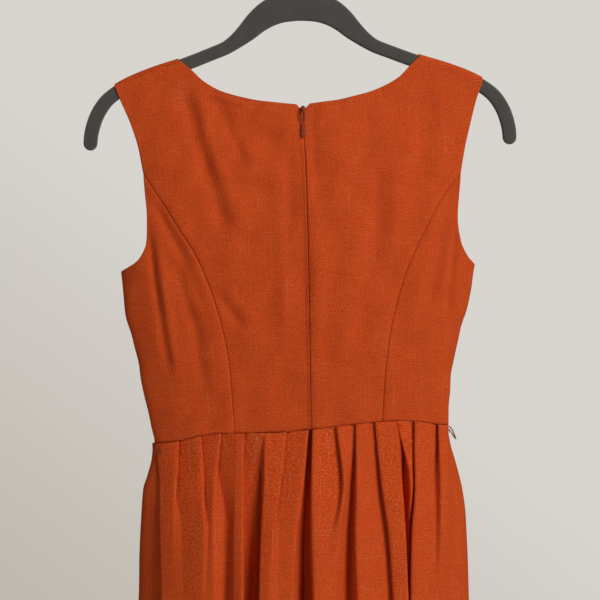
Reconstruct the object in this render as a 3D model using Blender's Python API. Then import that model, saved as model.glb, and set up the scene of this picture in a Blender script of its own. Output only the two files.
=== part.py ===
"""A sleeveless fit and flare dress on a slim hanger, in metres.

The hanger's hook rests on the origin. The dress faces -Y, so its back faces +Y, and +X is the wearer's left.
Tables are in millimetres. Down is measured from the hook, and across from its middle to the wearer's left.
"""

import math

import bmesh
import bpy
import numpy as np

MM = 0.001
CLOTH = 1.2 * MM
SEAM_GAP = 0.3 * MM
SEAM_SLACK = 0.03 * MM
WAIST_GAP = 0.5 * MM
SIDE_EDGE = 0.4 * MM
SKIRT_EDGE = 0.65 * MM
CLEARANCE = 0.3 * MM
SHARP_ANGLE = math.radians(50)
SAME_POINT = 0.01 * MM

# The hanger's spine from the crown to the tip, the same on both sides, and its half height there.
HANGER_SPINE = (
    # across, down, half height
    (0.0, 79.4, 15.6),
    (17.0, 81.0, 15.3),
    (31.0, 86.3, 14.0),
    (43.0, 94.5, 12.3),
    (54.0, 105.0, 10.3),
    (65.0, 114.2, 8.2),
    (76.5, 121.8, 7.0),
    (90.0, 127.3, 6.8),
    (120.0, 138.6, 6.8),
    (150.0, 148.2, 6.9),
    (175.0, 158.3, 7.0),
    (192.0, 168.5, 7.1),
    (201.0, 177.0, 7.3),
    (210.5, 193.8, 7.4),
    (215.0, 212.0, 7.3),
    (215.4, 218.0, 7.2),
)
HANGER_HALF_THICKNESS = 3.0 * MM
HANGER_TILT = math.radians(0.85)
HANGER_STATIONS = 36
HANGER_SIDES = 12
HANGER_END_ANGLES = (40.0, 70.0)
HOOK_INNER_RADIUS = 20.0 * MM
HOOK_WIRE_RADIUS = 1.7 * MM
HOOK_OPENING = math.radians(105)
HOOK_RETURN = math.radians(150)
HOOK_STEPS = 24
HOOK_NECK = (
    # share of the round's last distance from the middle, below the round's end
    (0.55, 5.5 * MM),
    (0.12, 10.5 * MM),
    (0.0, 14.5 * MM),
)
CROWN_TOP = -63.8 * MM

# The hanger's arms, which the shoulders are wrapped over.
ARM_INNER_END = 95 * MM
ARM_SAMPLE = 30 * MM
ARM_SLOPE = math.radians(22)
WRAP_RADIUS = HANGER_HALF_THICKNESS + CLEARANCE + CLOTH / 2
WRAP_RISE = (CLEARANCE + CLOTH / 2) / math.cos(ARM_SLOPE)
WRAP_DROP = WRAP_RADIUS / math.cos(ARM_SLOPE)

# The dress as a tube: how far its sides, front and back stand from its middle.
TUBE = (
    # down, left, right, front, back
    (150.0, 202.0, 200.0, 9.0, 8.0),
    (200.0, 196.0, 194.0, 17.0, 14.0),
    (250.0, 191.0, 188.0, 25.0, 20.0),
    (300.0, 187.0, 183.5, 31.0, 25.0),
    (345.0, 185.0, 180.0, 35.0, 27.0),
    (360.0, 184.0, 178.0, 37.0, 27.5),
    (390.0, 180.3, 171.2, 39.0, 28.0),
    (430.0, 170.5, 161.0, 34.0, 26.5),
    (470.0, 161.9, 154.5, 28.0, 24.5),
    (500.0, 155.7, 152.4, 24.0, 23.0),
    (512.0, 153.2, 152.4, 23.5, 23.0),
    (530.0, 150.0, 155.0, 25.0, 25.0),
    (545.0, 152.0, 159.5, 28.0, 28.0),
    (560.0, 156.5, 164.0, 32.0, 32.0),
    (577.0, 162.3, 168.5, 37.0, 37.0),
    (605.0, 165.0, 173.2, 44.0, 44.0),
    (640.0, 167.2, 175.2, 51.0, 51.0),
    (690.0, 169.2, 176.8, 59.0, 59.0),
    (800.0, 180.0, 187.0, 73.0, 72.0),
    (950.0, 201.0, 207.0, 90.0, 88.0),
    (1095.0, 220.0, 225.0, 106.0, 102.0),
)
WAIST = (
    # across, down
    (-152.0, 510.5),
    (-135.0, 508.0),
    (-117.0, 505.2),
    (-95.0, 504.8),
    (-57.0, 507.7),
    (-13.0, 513.0),
    (30.0, 516.4),
    (75.0, 517.2),
    (102.0, 520.0),
    (124.0, 525.5),
    (150.0, 529.0),
)
HEM_DOWN = 1088.0 * MM
BUST_DROP = 110.0 * MM

# Seams and edges of the bodice's left (+1) and right (-1) half, from the top, each point across and down.
NECK_BACK = {
    +1: (
        (125.2, 134.9),
        (112.5, 144.9),
        (98.1, 158.3),
        (79.6, 168.5),
        (61.1, 174.2),
        (38.5, 178.8),
        (3.6, 182.4),
    ),
    -1: (
        (-121.8, 132.6),
        (-112.5, 141.8),
        (-100.2, 154.2),
        (-74.5, 167.5),
        (-49.8, 174.7),
        (-30.3, 178.8),
        (-9.8, 181.4),
    ),
}
NECK_FRONT = {
    +1: (
        (125.2, 134.9),
        (111.0, 152.0),
        (94.0, 171.0),
        (72.0, 189.0),
        (45.0, 202.0),
        (20.0, 207.5),
        (-3.0, 209.0),
    ),
    -1: (
        (-121.8, 132.6),
        (-110.0, 149.0),
        (-95.0, 168.0),
        (-74.0, 187.0),
        (-48.0, 201.0),
        (-25.0, 207.5),
        (-3.0, 209.0),
    ),
}
CENTRE_BACK = {
    +1: (
        (3.6, 182.4),
        (-2.4, 190.0),
        (-4.0, 215.0),
        (-6.2, 260.0),
        (-8.4, 340.0),
        (-10.2, 440.0),
        (-11.3, 513.0),
    ),
    -1: (
        (-9.8, 181.4),
        (-3.6, 190.0),
        (-4.0, 215.0),
        (-6.2, 260.0),
        (-8.4, 340.0),
        (-10.2, 440.0),
        (-11.3, 513.0),
    ),
}
CENTRE_FRONT = ((-3.0, 209.0), (-3.0, 300.0), (-3.0, 420.0), (-3.0, 514.0))
ARMHOLE = {
    +1: (
        (190.0, 163.0),
        (185.5, 174.7),
        (173.3, 202.5),
        (165.0, 228.0),
        (160.2, 252.8),
    ),
    -1: (
        (-187.0, 160.0),
        (-181.4, 174.7),
        (-174.2, 202.5),
        (-168.6, 226.0),
        (-164.0, 252.8),
    ),
}
UNDERARM = {
    +1: (
        (160.2, 252.8),
        (158.2, 272.0),
        (155.7, 300.0),
        (157.0, 324.0),
        (164.5, 341.0),
        (184.0, 353.0),
    ),
    -1: (
        (-164.0, 252.8),
        (-162.6, 272.0),
        (-160.8, 298.0),
        (-164.5, 322.0),
        (-172.0, 337.5),
        (-179.6, 345.5),
    ),
}
PRINCESS_BACK = {
    +1: (
        (160.2, 252.8),
        (151.6, 266.2),
        (123.8, 309.3),
        (103.3, 342.2),
        (88.9, 377.2),
        (77.6, 415.2),
        (71.4, 450.1),
        (66.3, 517.0),
    ),
    -1: (
        (-164.0, 252.8),
        (-145.4, 277.5),
        (-118.7, 327.8),
        (-106.4, 356.1),
        (-97.1, 389.5),
        (-91.0, 417.2),
        (-86.8, 450.1),
        (-83.2, 506.0),
    ),
}
PRINCESS_FRONT = {
    +1: (
        (160.2, 252.8),
        (150.0, 272.0),
        (122.0, 315.0),
        (101.0, 350.0),
        (90.0, 385.0),
        (81.0, 425.0),
        (68.0, 517.0),
    ),
    -1: (
        (-164.0, 252.8),
        (-150.0, 274.0),
        (-124.0, 318.0),
        (-104.0, 352.0),
        (-93.0, 387.0),
        (-84.0, 425.0),
        (-74.0, 506.3),
    ),
}
ROWS_BELOW_CORNER = 12
ROWS_ABOVE_CORNER = 6
CENTRE_COLUMNS = tuple(column / 7 for column in range(8))
SIDE_COLUMNS = (0.0, 0.14, 0.28, 0.42, 0.56, 0.70, 0.84, 0.965, 1.0)
WRAP_ANGLES = (62.0, 34.0, 14.0)
SHOULDER_EDGE = 0.3 * MM

# The pleats. Each lies on the waist in three layers, PLEAT_LAYER apart, and opens into waves lower down.
PLEAT_LAYER = 2.4 * MM
FOLD_LEVELS = (567.3, 618.7, 690.6, 1088.0)
HEM_SPREAD = 1.3
HEM_HEIGHT = 1.35
HEM_RADIUS = 1.6
BACK_FOLDS = (
    # turn (1 out, -1 in), across at the waist and the next three levels, out at those three levels, radius
    (1, 124.4, 125.9, 126.9, 124.9, 3.5, 3.0, 1.0, 4.0),
    (-1, 135.7, 129.0, 118.7, 115.6, -3.5, 0.5, 2.0, 4.0),
    (1, 101.7, 98.7, 95.1, 98.1, 4.0, 6.5, 6.5, 5.0),
    (-1, 113.0, 103.8, 91.0, 92.0, -4.0, 2.5, 4.5, 4.0),
    (1, 81.2, 85.8, 86.8, 85.8, 3.0, 3.5, 3.5, 4.0),
    (-1, 92.5, 81.7, 74.5, 74.0, -5.0, -6.0, -7.0, 5.0),
    (1, 57.8, 58.1, 57.8, 57.0, 4.0, 6.5, 8.0, 1.8),
    (-1, 69.4, 61.1, 54.5, 52.9, -4.0, -4.0, -7.0, 3.0),
    (1, 36.0, 42.6, 45.7, 46.8, -3.5, -9.0, -12.0, 2.0),
    (-1, 47.3, 39.1, 40.6, 41.6, -9.0, -14.0, -17.0, 1.8),
    (1, 14.9, 20.6, 27.7, 31.9, 4.5, 7.0, 9.5, 2.5),
    (-1, 26.2, 24.7, 22.1, 20.0, -2.5, 2.0, 6.0, 4.0),
    (1, -7.2, -1.5, 5.7, 9.8, 4.0, 4.0, 4.5, 3.0),
    (-1, 4.1, -2.1, -0.5, -0.5, -8.0, -9.0, -8.0, 3.0),
    (-1, -11.3, -7.2, -6.7, -8.2, -11.0, -15.0, -18.0, 3.0),
    (-1, -25.2, -10.8, -9.8, -11.3, -10.0, -14.0, -17.0, 2.0),
    (1, -13.9, -15.9, -18.0, -21.1, 2.5, 5.5, 8.0, 4.0),
    (-1, -49.3, -41.1, -30.3, -27.2, -3.5, 2.5, 6.0, 3.0),
    (1, -38.0, -44.2, -36.5, -32.4, 4.0, 3.5, 5.5, 2.5),
    (-1, -68.9, -52.9, -51.4, -50.4, -9.0, -11.0, -10.0, 2.5),
    (1, -57.6, -57.6, -57.0, -59.6, 3.5, 4.5, 5.5, 2.0),
    (-1, -88.4, -82.7, -87.9, -86.8, -6.0, -5.0, -3.0, 2.5),
    (1, -77.1, -87.9, -94.0, -94.0, 2.0, 2.5, 3.0, 3.0),
    (1, -95.1, -101.7, -103.3, -103.8, 5.5, 7.5, 9.0, 1.6),
    (-1, -110.0, -106.4, -106.9, -107.4, -13.0, -16.0, -16.0, 1.5),
    (1, -98.7, -111.0, -108.9, -108.9, -7.0, -13.0, -13.0, 1.5),
    (-1, -128.5, -113.6, -111.0, -110.5, -10.0, -12.0, -10.0, 1.5),
    (1, -117.2, -125.9, -121.8, -120.8, 4.0, 3.5, -1.0, 5.0),
    (-1, -149.5, -138.2, -135.1, -132.1, -4.0, -0.5, 1.5, 4.0),
    (1, -141.8, -144.9, -143.9, -143.4, 5.0, 6.5, 7.5, 3.0),
)
CENTRE_SEAM_FOLD = 14
SIDE_SEAMS = {
    # across at the waist and the next three levels, out at those three levels
    +1: (149.0, 145.4, 143.4, 141.8, -1.0, -2.5, -4.0),
    -1: (-152.3, -152.6, -151.6, -148.0, 1.0, -1.0, -1.0),
}
SEAM_FOLD_RADIUS = 1.5
POINTS_PER_FOLD = 3
LONG_SPAN = 11.0
SHORT_SPAN = 8.0
LEAST_FOLD_RUN = 0.8 * MM
BELT_TIGHT = 0.95
BELT_EASE = 0.85
BELT_ROUNDS = 60
SKIRT_ROWS = (0.0, 0.03, 0.07, 0.12, 0.18, 0.28, 0.45, 0.7, 1.0)
SIDE_SPAN_POINTS = 6
ARC_STEPS = 720
ARC_PROBE = 0.5 * MM

# The zip at the top of the centre back.
SLIDER_PLACE = (-3.0 * MM, -187.8 * MM)
SLIDER_SIZE = (5.4 * MM, 2.4 * MM, 7.0 * MM)
SLIDER_SLACK = 0.3 * MM
SLIDER_TAPER = 0.72
SLIDER_ROUNDING = 0.6 * MM
BAIL_RADIUS = 1.7 * MM
BAIL_RISE = 0.9 * MM
BAIL_WIRE = 0.45 * MM
BAIL_ROOT = 0.5 * MM
BAIL_STEPS = 8
PULL_DROP = 0.9 * MM
PULL_PLAY = 0.25 * MM
PULL_REST_MARGIN = math.radians(1)
PULL_PLATE = 1.0 * MM
PULL_LENGTH = 26.0 * MM
PULL_RING = (5.4 * MM, 6.6 * MM)
PULL_TAB = 4.8 * MM
PULL_HOLE = (1.5 * MM, 2.55 * MM)
PULL_HOLE_DROP = 2.95 * MM
PULL_HOLE_SIDES = 12
PULL_RING_OUTLINE = (
    # share of the ring's width and height from its axis
    (0.0, 0.068),
    (0.36, 0.061),
    (0.5, 0.0),
    (0.5, -0.394),
    (0.42, -0.697),
    (0.3, -0.848),
)
PULL_TAB_OUTLINE = (
    # share of the tab's width and of the whole length
    (0.24, -0.38),
    (0.3, -0.55),
    (0.45, -0.72),
    (0.5, -0.82),
    (0.42, -0.93),
    (0.22, -0.985),
    (0.0, -1.0),
)
ZIP_TAPE = (14.0 * MM, 1.0 * MM)
ZIP_TAPE_DOWN = (194.0, 500.0)
ZIP_TAPE_COLUMNS = (-0.5, -0.17, 0.17, 0.5)
ZIP_TAPE_ROWS = 12
ZIP_TAPE_SLACK = 0.1 * MM

THREAD_RADIUS = 0.6 * MM
BELT_LOOPS = {
    # share of a quarter turn round from the centre back, out from the cloth, down
    "belt_loop_left": (
        (0.88, 1.7, 525.5),
        (0.93, 3.0, 529.0),
        (0.96, 4.2, 534.0),
        (0.91, 4.6, 538.5),
        (0.84, 4.4, 539.0),
        (0.80, 4.0, 535.0),
        (0.83, 3.2, 532.0),
    ),
    "belt_loop_right": (
        (-0.970, 1.7, 507.5),
        (-0.985, 3.5, 511.0),
        (-0.995, 5.6, 516.0),
        (-0.995, 7.2, 521.0),
        (-0.985, 7.0, 524.5),
        (-0.965, 5.4, 522.0),
        (-0.955, 3.6, 517.0),
    ),
}


def steady(xs, ys, at):
    """Values of a smooth curve through (xs, ys) that never overshoots them."""
    xs, ys, at = (np.asarray(a, float) for a in (xs, ys, at))
    gap = np.diff(xs)
    slope = np.diff(ys) / gap
    tangent = np.concatenate([slope[:1], np.zeros(len(xs) - 2), slope[-1:]])
    same = slope[:-1] * slope[1:] > 0
    harmonic = 2 * slope[:-1] * slope[1:] / np.where(same, slope[:-1] + slope[1:], 1)
    tangent[1:-1] = np.where(same, harmonic, 0)
    at = np.clip(at, xs[0], xs[-1])
    i = np.clip(np.searchsorted(xs, at, side="right") - 1, 0, len(gap) - 1)
    t = (at - xs[i]) / gap[i]
    rise = ys[i] * (1 + 2 * t) * (1 - t) ** 2 + ys[i + 1] * t**2 * (3 - 2 * t)
    return rise + gap[i] * (tangent[i] * t * (1 - t) ** 2 - tangent[i + 1] * t**2 * (1 - t))


def smooth_line(points, count):
    """count + 1 points evenly spaced along a smooth curve through the points."""
    return line_at(points, np.linspace(0, 1, count + 1))


def line_at(points, shares):
    """Points at these shares of the length of a smooth curve through the points."""
    points = np.asarray(points, float)
    run = np.concatenate([[0], np.cumsum(np.linalg.norm(np.diff(points, axis=0), axis=1))])
    fine = np.linspace(0, run[-1], 400)
    dense = np.stack([steady(run, column, fine) for column in points.T], axis=1)
    length = np.concatenate([[0], np.cumsum(np.linalg.norm(np.diff(dense, axis=0), axis=1))])
    at = np.asarray(shares) * length[-1]
    return np.stack([np.interp(at, length, column) for column in dense.T], axis=1)


def in_metres(points):
    """Table points (across, down) as (x, z) in metres."""
    return np.asarray(points, float) * (MM, -MM)


def smoothstep(t):
    t = np.clip(t, 0, 1)
    return t * t * (3 - 2 * t)


def material(name, colour, roughness, metallic=0.0):
    made = bpy.data.materials.new(name)
    made.use_nodes = True
    shader = made.node_tree.nodes["Principled BSDF"]
    shader.inputs["Base Color"].default_value = (*colour, 1)
    shader.inputs["Roughness"].default_value = roughness
    shader.inputs["Metallic"].default_value = metallic
    return made


def add_object(name, bm, look):
    """An object of its own from a bmesh, shaded smooth."""
    mesh = bpy.data.meshes.new(name)
    bm.to_mesh(mesh)
    bm.free()
    mesh.shade_smooth()
    mesh.set_sharp_from_angle(angle=SHARP_ANGLE)
    mesh.materials.append(look)
    made = bpy.data.objects.new(name, mesh)
    bpy.context.scene.collection.objects.link(made)
    return made


def waist_z(x):
    across, down = np.array(WAIST).T
    return -steady(across, down, np.asarray(x) / MM) * MM


def tube(z):
    """(middle, half width, front depth, back depth) of the dress at height z."""
    down, left, right, front, back = np.array(TUBE).T
    at = -np.asarray(z) / MM
    left, right, front, back = (steady(down, side, at) * MM for side in (left, right, front, back))
    return (left - right) / 2, (left + right) / 2 - CLOTH / 2, front, back


def hanger_outline():
    """The hanger's spine and its half height, from tip to tip, tilted as it hangs."""
    half = np.array(HANGER_SPINE) * MM
    whole = np.concatenate([half[:0:-1] * (-1, 1, 1), half])
    spine = smooth_line(whole, HANGER_STATIONS)
    x = spine[:, 0]
    z = -spine[:, 1]
    z = z - x * math.sin(HANGER_TILT)
    return x, z, spine[:, 2]


def hanger_top():
    """The hanger's top edge over its arms, as x and z."""
    x, z, half = hanger_outline()
    dx = np.gradient(x)
    dz = np.gradient(z)
    length = np.hypot(dx, dz)
    return x - half * dz / length, z + half * dx / length


def shoulder_z(x):
    """The top of the cloth's middle over the hanger, carried on straight between the arms."""
    top_x, top_z = hanger_top()
    x = np.asarray(x, float)
    arm = ARM_INNER_END
    inner = np.clip(np.abs(x), arm, None) * np.where(x < 0, -1, 1)
    slope = (np.interp(arm + ARM_SAMPLE, top_x, top_z) - np.interp(arm, top_x, top_z)) / ARM_SAMPLE
    carried = np.interp(inner, top_x, top_z) - slope * np.clip(arm - np.abs(x), 0, None)
    return carried + WRAP_RISE


def angle_of(points):
    """(angle round the tube, z) of (x, z) points: 0 at the middle and a quarter turn at each side."""
    x, z = np.asarray(points, float).T
    middle, half_width, _, _ = tube(z)
    return np.stack([np.arcsin(np.clip((x - middle) / half_width, -1, 1)), z], axis=-1)


def on_bodice(angle, z, side):
    """Points of the bodice's middle surface. side is 1 for the back and -1 for the front."""
    middle, half_width, front, back = tube(z)
    x = middle + half_width * np.sin(angle)
    full = (back if side > 0 else front) * np.cos(angle)
    below = shoulder_z(x) - z
    drop = smoothstep((below - WRAP_DROP) / BUST_DROP)
    y = WRAP_RADIUS * (1 - drop) + full * drop
    wrap = np.sqrt(np.clip(1 - (1 - np.clip(below / WRAP_DROP, 0, 1)) ** 2, 0, 1))
    return np.stack([x, side * np.maximum(y * wrap, SEAM_GAP / 2), z], axis=-1)


def patch(inner, outer, bottom, top, shares):
    """A grid between four edges of (angle, z) points: rows go up, columns lie at shares of the way out."""
    v = np.linspace(0, 1, len(inner))[:, None, None]
    u = np.asarray(shares)[None, :, None]
    sides = (1 - u) * inner[:, None] + u * outer[:, None]
    ends = (1 - v) * bottom[None] + v * top[None]
    corners = (1 - v) * ((1 - u) * bottom[0] + u * bottom[-1]) + v * ((1 - u) * top[0] + u * top[-1])
    return sides + ends - corners


def waist_edge(inner_x, outer_x, shares):
    x = inner_x + (outer_x - inner_x) * np.asarray(shares)
    return np.stack([x, waist_z(x) + WAIST_GAP / 2], axis=-1)


def fill_grid(bm, grid, flip):
    """Lays a grid of points as quads. flip turns the faces the other way."""
    rows, columns = grid.shape[:2]
    made = bmesh.ops.create_grid(bm, x_segments=columns - 1, y_segments=rows - 1, size=1)
    for vertex in made["verts"]:
        column = round((vertex.co.x + 1) / 2 * (columns - 1))
        row = round((vertex.co.y + 1) / 2 * (rows - 1))
        vertex.co = grid[row, column]
    if flip:
        faces = {face for vertex in made["verts"] for face in vertex.link_faces}
        bmesh.ops.reverse_faces(bm, faces=list(faces))


def cloth(name, grids, look):
    """A wall of cloth on one grid, or on several that meet edge to edge. Each grid is (points, flip)."""
    bm = bmesh.new()
    for grid, flip in grids:
        fill_grid(bm, grid, flip)
    bmesh.ops.remove_doubles(bm, verts=bm.verts, dist=SAME_POINT)
    made = add_object(name, bm, look)
    wall = made.modifiers.new("wall", "SOLIDIFY")
    wall.thickness = CLOTH
    wall.offset = 0
    wall.use_quality_normals = True
    return made


def centre_panel(hand, side, centre, neck, princess):
    """Half of a centre panel, from the centre line to the princess seam and armhole, and up the shoulder."""
    low = smooth_line(in_metres(princess)[::-1], ROWS_BELOW_CORNER)
    high = smooth_line(in_metres(ARMHOLE[hand])[::-1], ROWS_ABOVE_CORNER)
    centre_low = smooth_line(in_metres(centre)[::-1], ROWS_BELOW_CORNER)
    neck_high = smooth_line(in_metres(neck)[::-1], ROWS_ABOVE_CORNER)
    inner = np.concatenate([centre_low, neck_high[1:]])
    outer = np.concatenate([low, high[1:]])
    bottom = waist_edge(inner[0, 0], outer[0, 0], CENTRE_COLUMNS)
    inner[0] = bottom[0]
    outer[0] = bottom[-1]
    top_x = inner[-1, 0] + (outer[-1, 0] - inner[-1, 0]) * np.array(CENTRE_COLUMNS)
    top = np.stack([top_x, shoulder_z(top_x) - WRAP_DROP], axis=-1)
    inner[-1] = top[0]
    outer[-1] = top[-1]
    flat = patch(*(angle_of(edge) for edge in (inner, outer, bottom, top)), CENTRE_COLUMNS)
    grid = on_bodice(flat[..., 0], flat[..., 1], side)
    wraps = []
    for turn in WRAP_ANGLES:
        angle = math.radians(turn)
        y = np.full(len(top_x), side * WRAP_RADIUS * math.sin(angle))
        wraps.append(np.stack([top_x, y, top[:, 1] + WRAP_DROP * math.cos(angle)], axis=-1))
    y = np.full(len(top_x), side * SHOULDER_EDGE)
    seam = np.stack([top_x, y, top[:, 1] + WRAP_DROP], axis=-1)
    return np.concatenate([grid, wraps, seam[None]])


def side_panel(hand, side, princess):
    """A side panel, from the princess seam to the side seam, under the armhole."""
    inner = smooth_line(in_metres(princess)[::-1], ROWS_BELOW_CORNER)
    underarm = line_at(in_metres(UNDERARM[hand]), SIDE_COLUMNS)
    waist_side = tube(waist_z(hand * 151 * MM))
    side_x = waist_side[0] + hand * waist_side[1]
    bottom = waist_edge(inner[0, 0], side_x, SIDE_COLUMNS)
    inner[0] = bottom[0]
    quarter = hand * math.pi / 2
    side_z = np.linspace(bottom[-1, 1], underarm[-1, 1], ROWS_BELOW_CORNER + 1)
    outer = np.stack([quarter + 0 * side_z, side_z], axis=-1)
    top = angle_of(underarm)
    top[-1] = outer[-1]
    start = angle_of(inner[:1])[0]
    low_angle = start[0] + (quarter - start[0]) * np.array(SIDE_COLUMNS)
    middle, half_width, _, _ = tube(bottom[:, 1])
    low = np.stack([low_angle, waist_z(middle + half_width * np.sin(low_angle)) + WAIST_GAP / 2], axis=-1)
    low[-1] = outer[0]
    flat = patch(angle_of(inner), outer, low, top, SIDE_COLUMNS)
    return on_bodice(flat[..., 0], flat[..., 1], side)


def seam_apart(grid, start, stop, gap):
    """Moves the outer column of rows start to stop in by gap."""
    step = grid[start:stop, -2] - grid[start:stop, -1]
    grid[start:stop, -1] += step / np.linalg.norm(step, axis=-1, keepdims=True) * gap
    return grid


def inner_apart(grid, start, stop, gap):
    """The same for the inner column."""
    return seam_apart(grid[:, ::-1], start, stop, gap)[:, ::-1]


def bodice(look):
    half_gap = SEAM_GAP / 2 + SEAM_SLACK
    seam_rows = ROWS_BELOW_CORNER + 1
    for hand, name in ((1, "left"), (-1, "right")):
        back = centre_panel(hand, 1, CENTRE_BACK[hand], NECK_BACK[hand], PRINCESS_BACK[hand])
        back = inner_apart(seam_apart(back, 0, seam_rows, half_gap), 0, seam_rows - 1, half_gap)
        cloth("back_centre_" + name, [(back, hand > 0)], look)
        for side, place, princess in ((1, "back", PRINCESS_BACK), (-1, "front", PRINCESS_FRONT)):
            panel = side_panel(hand, side, princess[hand])
            panel = inner_apart(panel, 0, None, half_gap)
            panel[:, -1, 1] = side * SIDE_EDGE
            cloth(f"{place}_side_{name}", [(panel, (hand > 0) == (side > 0))], look)
    halves = []
    for hand in (1, -1):
        half = centre_panel(hand, -1, CENTRE_FRONT, NECK_FRONT[hand], PRINCESS_FRONT[hand])
        half = seam_apart(half, 0, seam_rows, half_gap)
        halves.append((half, hand < 0))
    cloth("front_centre", halves, look)


def fold_table():
    """Every fold round the skirt: the left side seam, the back, the right side seam, and the front.

    The front's folds are the back's, turned half round. Both side seams lie on the back.
    """
    lying = PLEAT_LAYER / MM
    rows = []
    for part in (1, -1):
        seam = SIDE_SEAMS[part]
        rows.append((1, -1, seam[:4], (0.0, *seam[4:]), SEAM_FOLD_RADIUS))
        for turn, *across, out_1, out_2, out_3, radius in BACK_FOLDS:
            at_waist = lying if turn > 0 else -2 * lying
            placed = tuple(part * a for a in across)
            rows.append((part, turn, placed, (at_waist, out_1, out_2, out_3), radius))
    return rows


def span_counts(rows):
    """How many points lie between each fold and the next: more where they are further apart."""
    counts = []
    for row, following in zip(rows, rows[1:] + rows[:1]):
        apart = abs(following[2][-1] - row[2][-1])
        if row[0] != following[0]:
            counts.append(SIDE_SPAN_POINTS)
        elif apart > LONG_SPAN:
            counts.append(2)
        else:
            counts.append(1 if abs(following[2][0] - row[2][0]) > SHORT_SPAN else 0)
    return counts


def arc_table(z):
    """Arc length round the tube from the centre back towards the right, and the points there."""
    turn = np.linspace(-math.pi, math.pi, ARC_STEPS + 1)
    middle, half_width, front, back = tube(z)
    depth = np.where(np.abs(turn) <= math.pi / 2, back, front)
    x = middle - half_width * np.sin(turn)
    y = depth * np.cos(turn)
    length = np.concatenate([[0], np.cumsum(np.hypot(np.diff(x), np.diff(y)))])
    return length - length[ARC_STEPS // 2], x, y


def across_to_arc(z, x, part):
    """Arc length of the point at x on the back (part 1) or the front (part -1), and the way all round."""
    length, _, _ = arc_table(z)
    whole = length[-1] - length[0]
    middle, half_width, _, _ = tube(z)
    turn = -math.asin(max(-1.0, min(1.0, (x - middle) / half_width)))
    if part < 0:
        turn = math.pi - turn
    past = turn > math.pi
    turn -= 2 * math.pi * past
    return np.interp(turn, np.linspace(-math.pi, math.pi, ARC_STEPS + 1), length) + whole * past, whole


def row_height(x, share):
    top = float(waist_z(x)) - WAIST_GAP / 2
    return top + (-HEM_DOWN - top) * share


def fold_at(row, share):
    """(arc length, height out, radius, turn, way round) of a fold on the row at this share of the skirt."""
    part, turn, across, out, radius = row
    z = row_height(across[0] * MM, share)
    levels = np.array([-row_height(across[0] * MM, 0.0) / MM, *FOLD_LEVELS])
    x = float(steady(levels, [*across, across[-1] * HEM_SPREAD], -z / MM)) * MM
    height = float(steady(levels, [*out, out[-1] * HEM_HEIGHT], -z / MM)) * MM
    small = PLEAT_LAYER / 2 / MM
    sizes = [small, (small + radius) / 2, radius, radius, radius * HEM_RADIUS]
    size = float(steady(levels, sizes, -z / MM)) * MM
    arc, whole = across_to_arc(z, x, part)
    return arc, height, size, turn, whole


def belt(folds, spans, per_fold):
    """A line pulled round the folds like a belt, over each that turns out and under each that turns in."""
    s = np.array([fold[0] for fold in folds])
    turn = np.array([fold[3] for fold in folds])
    size = np.array([fold[2] for fold in folds])
    top = np.array([fold[1] for fold in folds])
    count = len(folds)
    for _ in range(BELT_ROUNDS):
        h = top - turn * size
        gap = np.hypot(np.diff(s), np.diff(h))
        tight = np.abs(np.diff(turn * size)) > BELT_TIGHT * gap
        if not tight.any():
            break
        size = np.where(np.append(tight, False) | np.insert(tight, 0, False), BELT_EASE * size, size)
    signed = turn * size
    ds = np.diff(s)
    dh = np.diff(h)
    lean = np.arctan2(dh, ds) - np.arcsin((signed[:-1] - signed[1:]) / gap)
    start = np.insert(lean, 0, lean[-1])
    end = np.append(lean, lean[0])
    points = []
    for i in range(count):
        swing = (turn[i] * (start[i] - end[i]) + math.pi / 3) % (2 * math.pi) - math.pi / 3
        shortest = LEAST_FOLD_RUN - size[i] * swing
        for k in range(per_fold):
            share = k / (per_fold - 1)
            a = start[i] - turn[i] * swing * share
            along = max(0.0, shortest) * (share - 0.5)
            x = s[i] - signed[i] * math.sin(a) + along * math.cos(a)
            y = h[i] + signed[i] * math.cos(a) + along * math.sin(a)
            points.append((x, y))
        if i + 1 < count:
            a = end[i]
            last = points[-1]
            following = (s[i + 1] - signed[i + 1] * math.sin(a), h[i + 1] + signed[i + 1] * math.cos(a))
            for k in range(1, spans[i] + 1):
                t = k / (spans[i] + 1)
                points.append(tuple(p + (q - p) * t for p, q in zip(last, following)))
    return np.array(points)


def skirt_row(rows, share, spans):
    """The points of one level row round the skirt."""
    folds = [fold_at(row, share) for row in rows]
    arc, *rest, whole = folds[0]
    folds.append((arc + whole, *rest, whole))
    line = belt(folds, spans, POINTS_PER_FOLD)
    arcs = np.array([fold[0] for fold in folds])
    wholes = np.array([fold[-1] for fold in folds])
    mean_waist = -np.mean([down for _, down in WAIST]) * MM
    mean_z = mean_waist + (-HEM_DOWN - mean_waist) * share
    guess_length, guess_x, _ = arc_table(mean_z)
    points = []
    for run, out in line:
        way_round = np.interp(run, arcs, wholes)
        at = run - way_round if run > way_round / 2 else run
        z = row_height(float(np.interp(at, guess_length, guess_x)), share)
        length, x, y = arc_table(z)
        place, ahead, behind = (
            np.array((np.interp(near, length, x), np.interp(near, length, y)))
            for near in (at, min(at + ARC_PROBE, length[-1]), max(at - ARC_PROBE, length[0]))
        )
        along = (ahead - behind) / np.linalg.norm(ahead - behind)
        points.append((place[0] + along[1] * out, place[1] - along[0] * out, z))
    return np.array(points)


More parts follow.
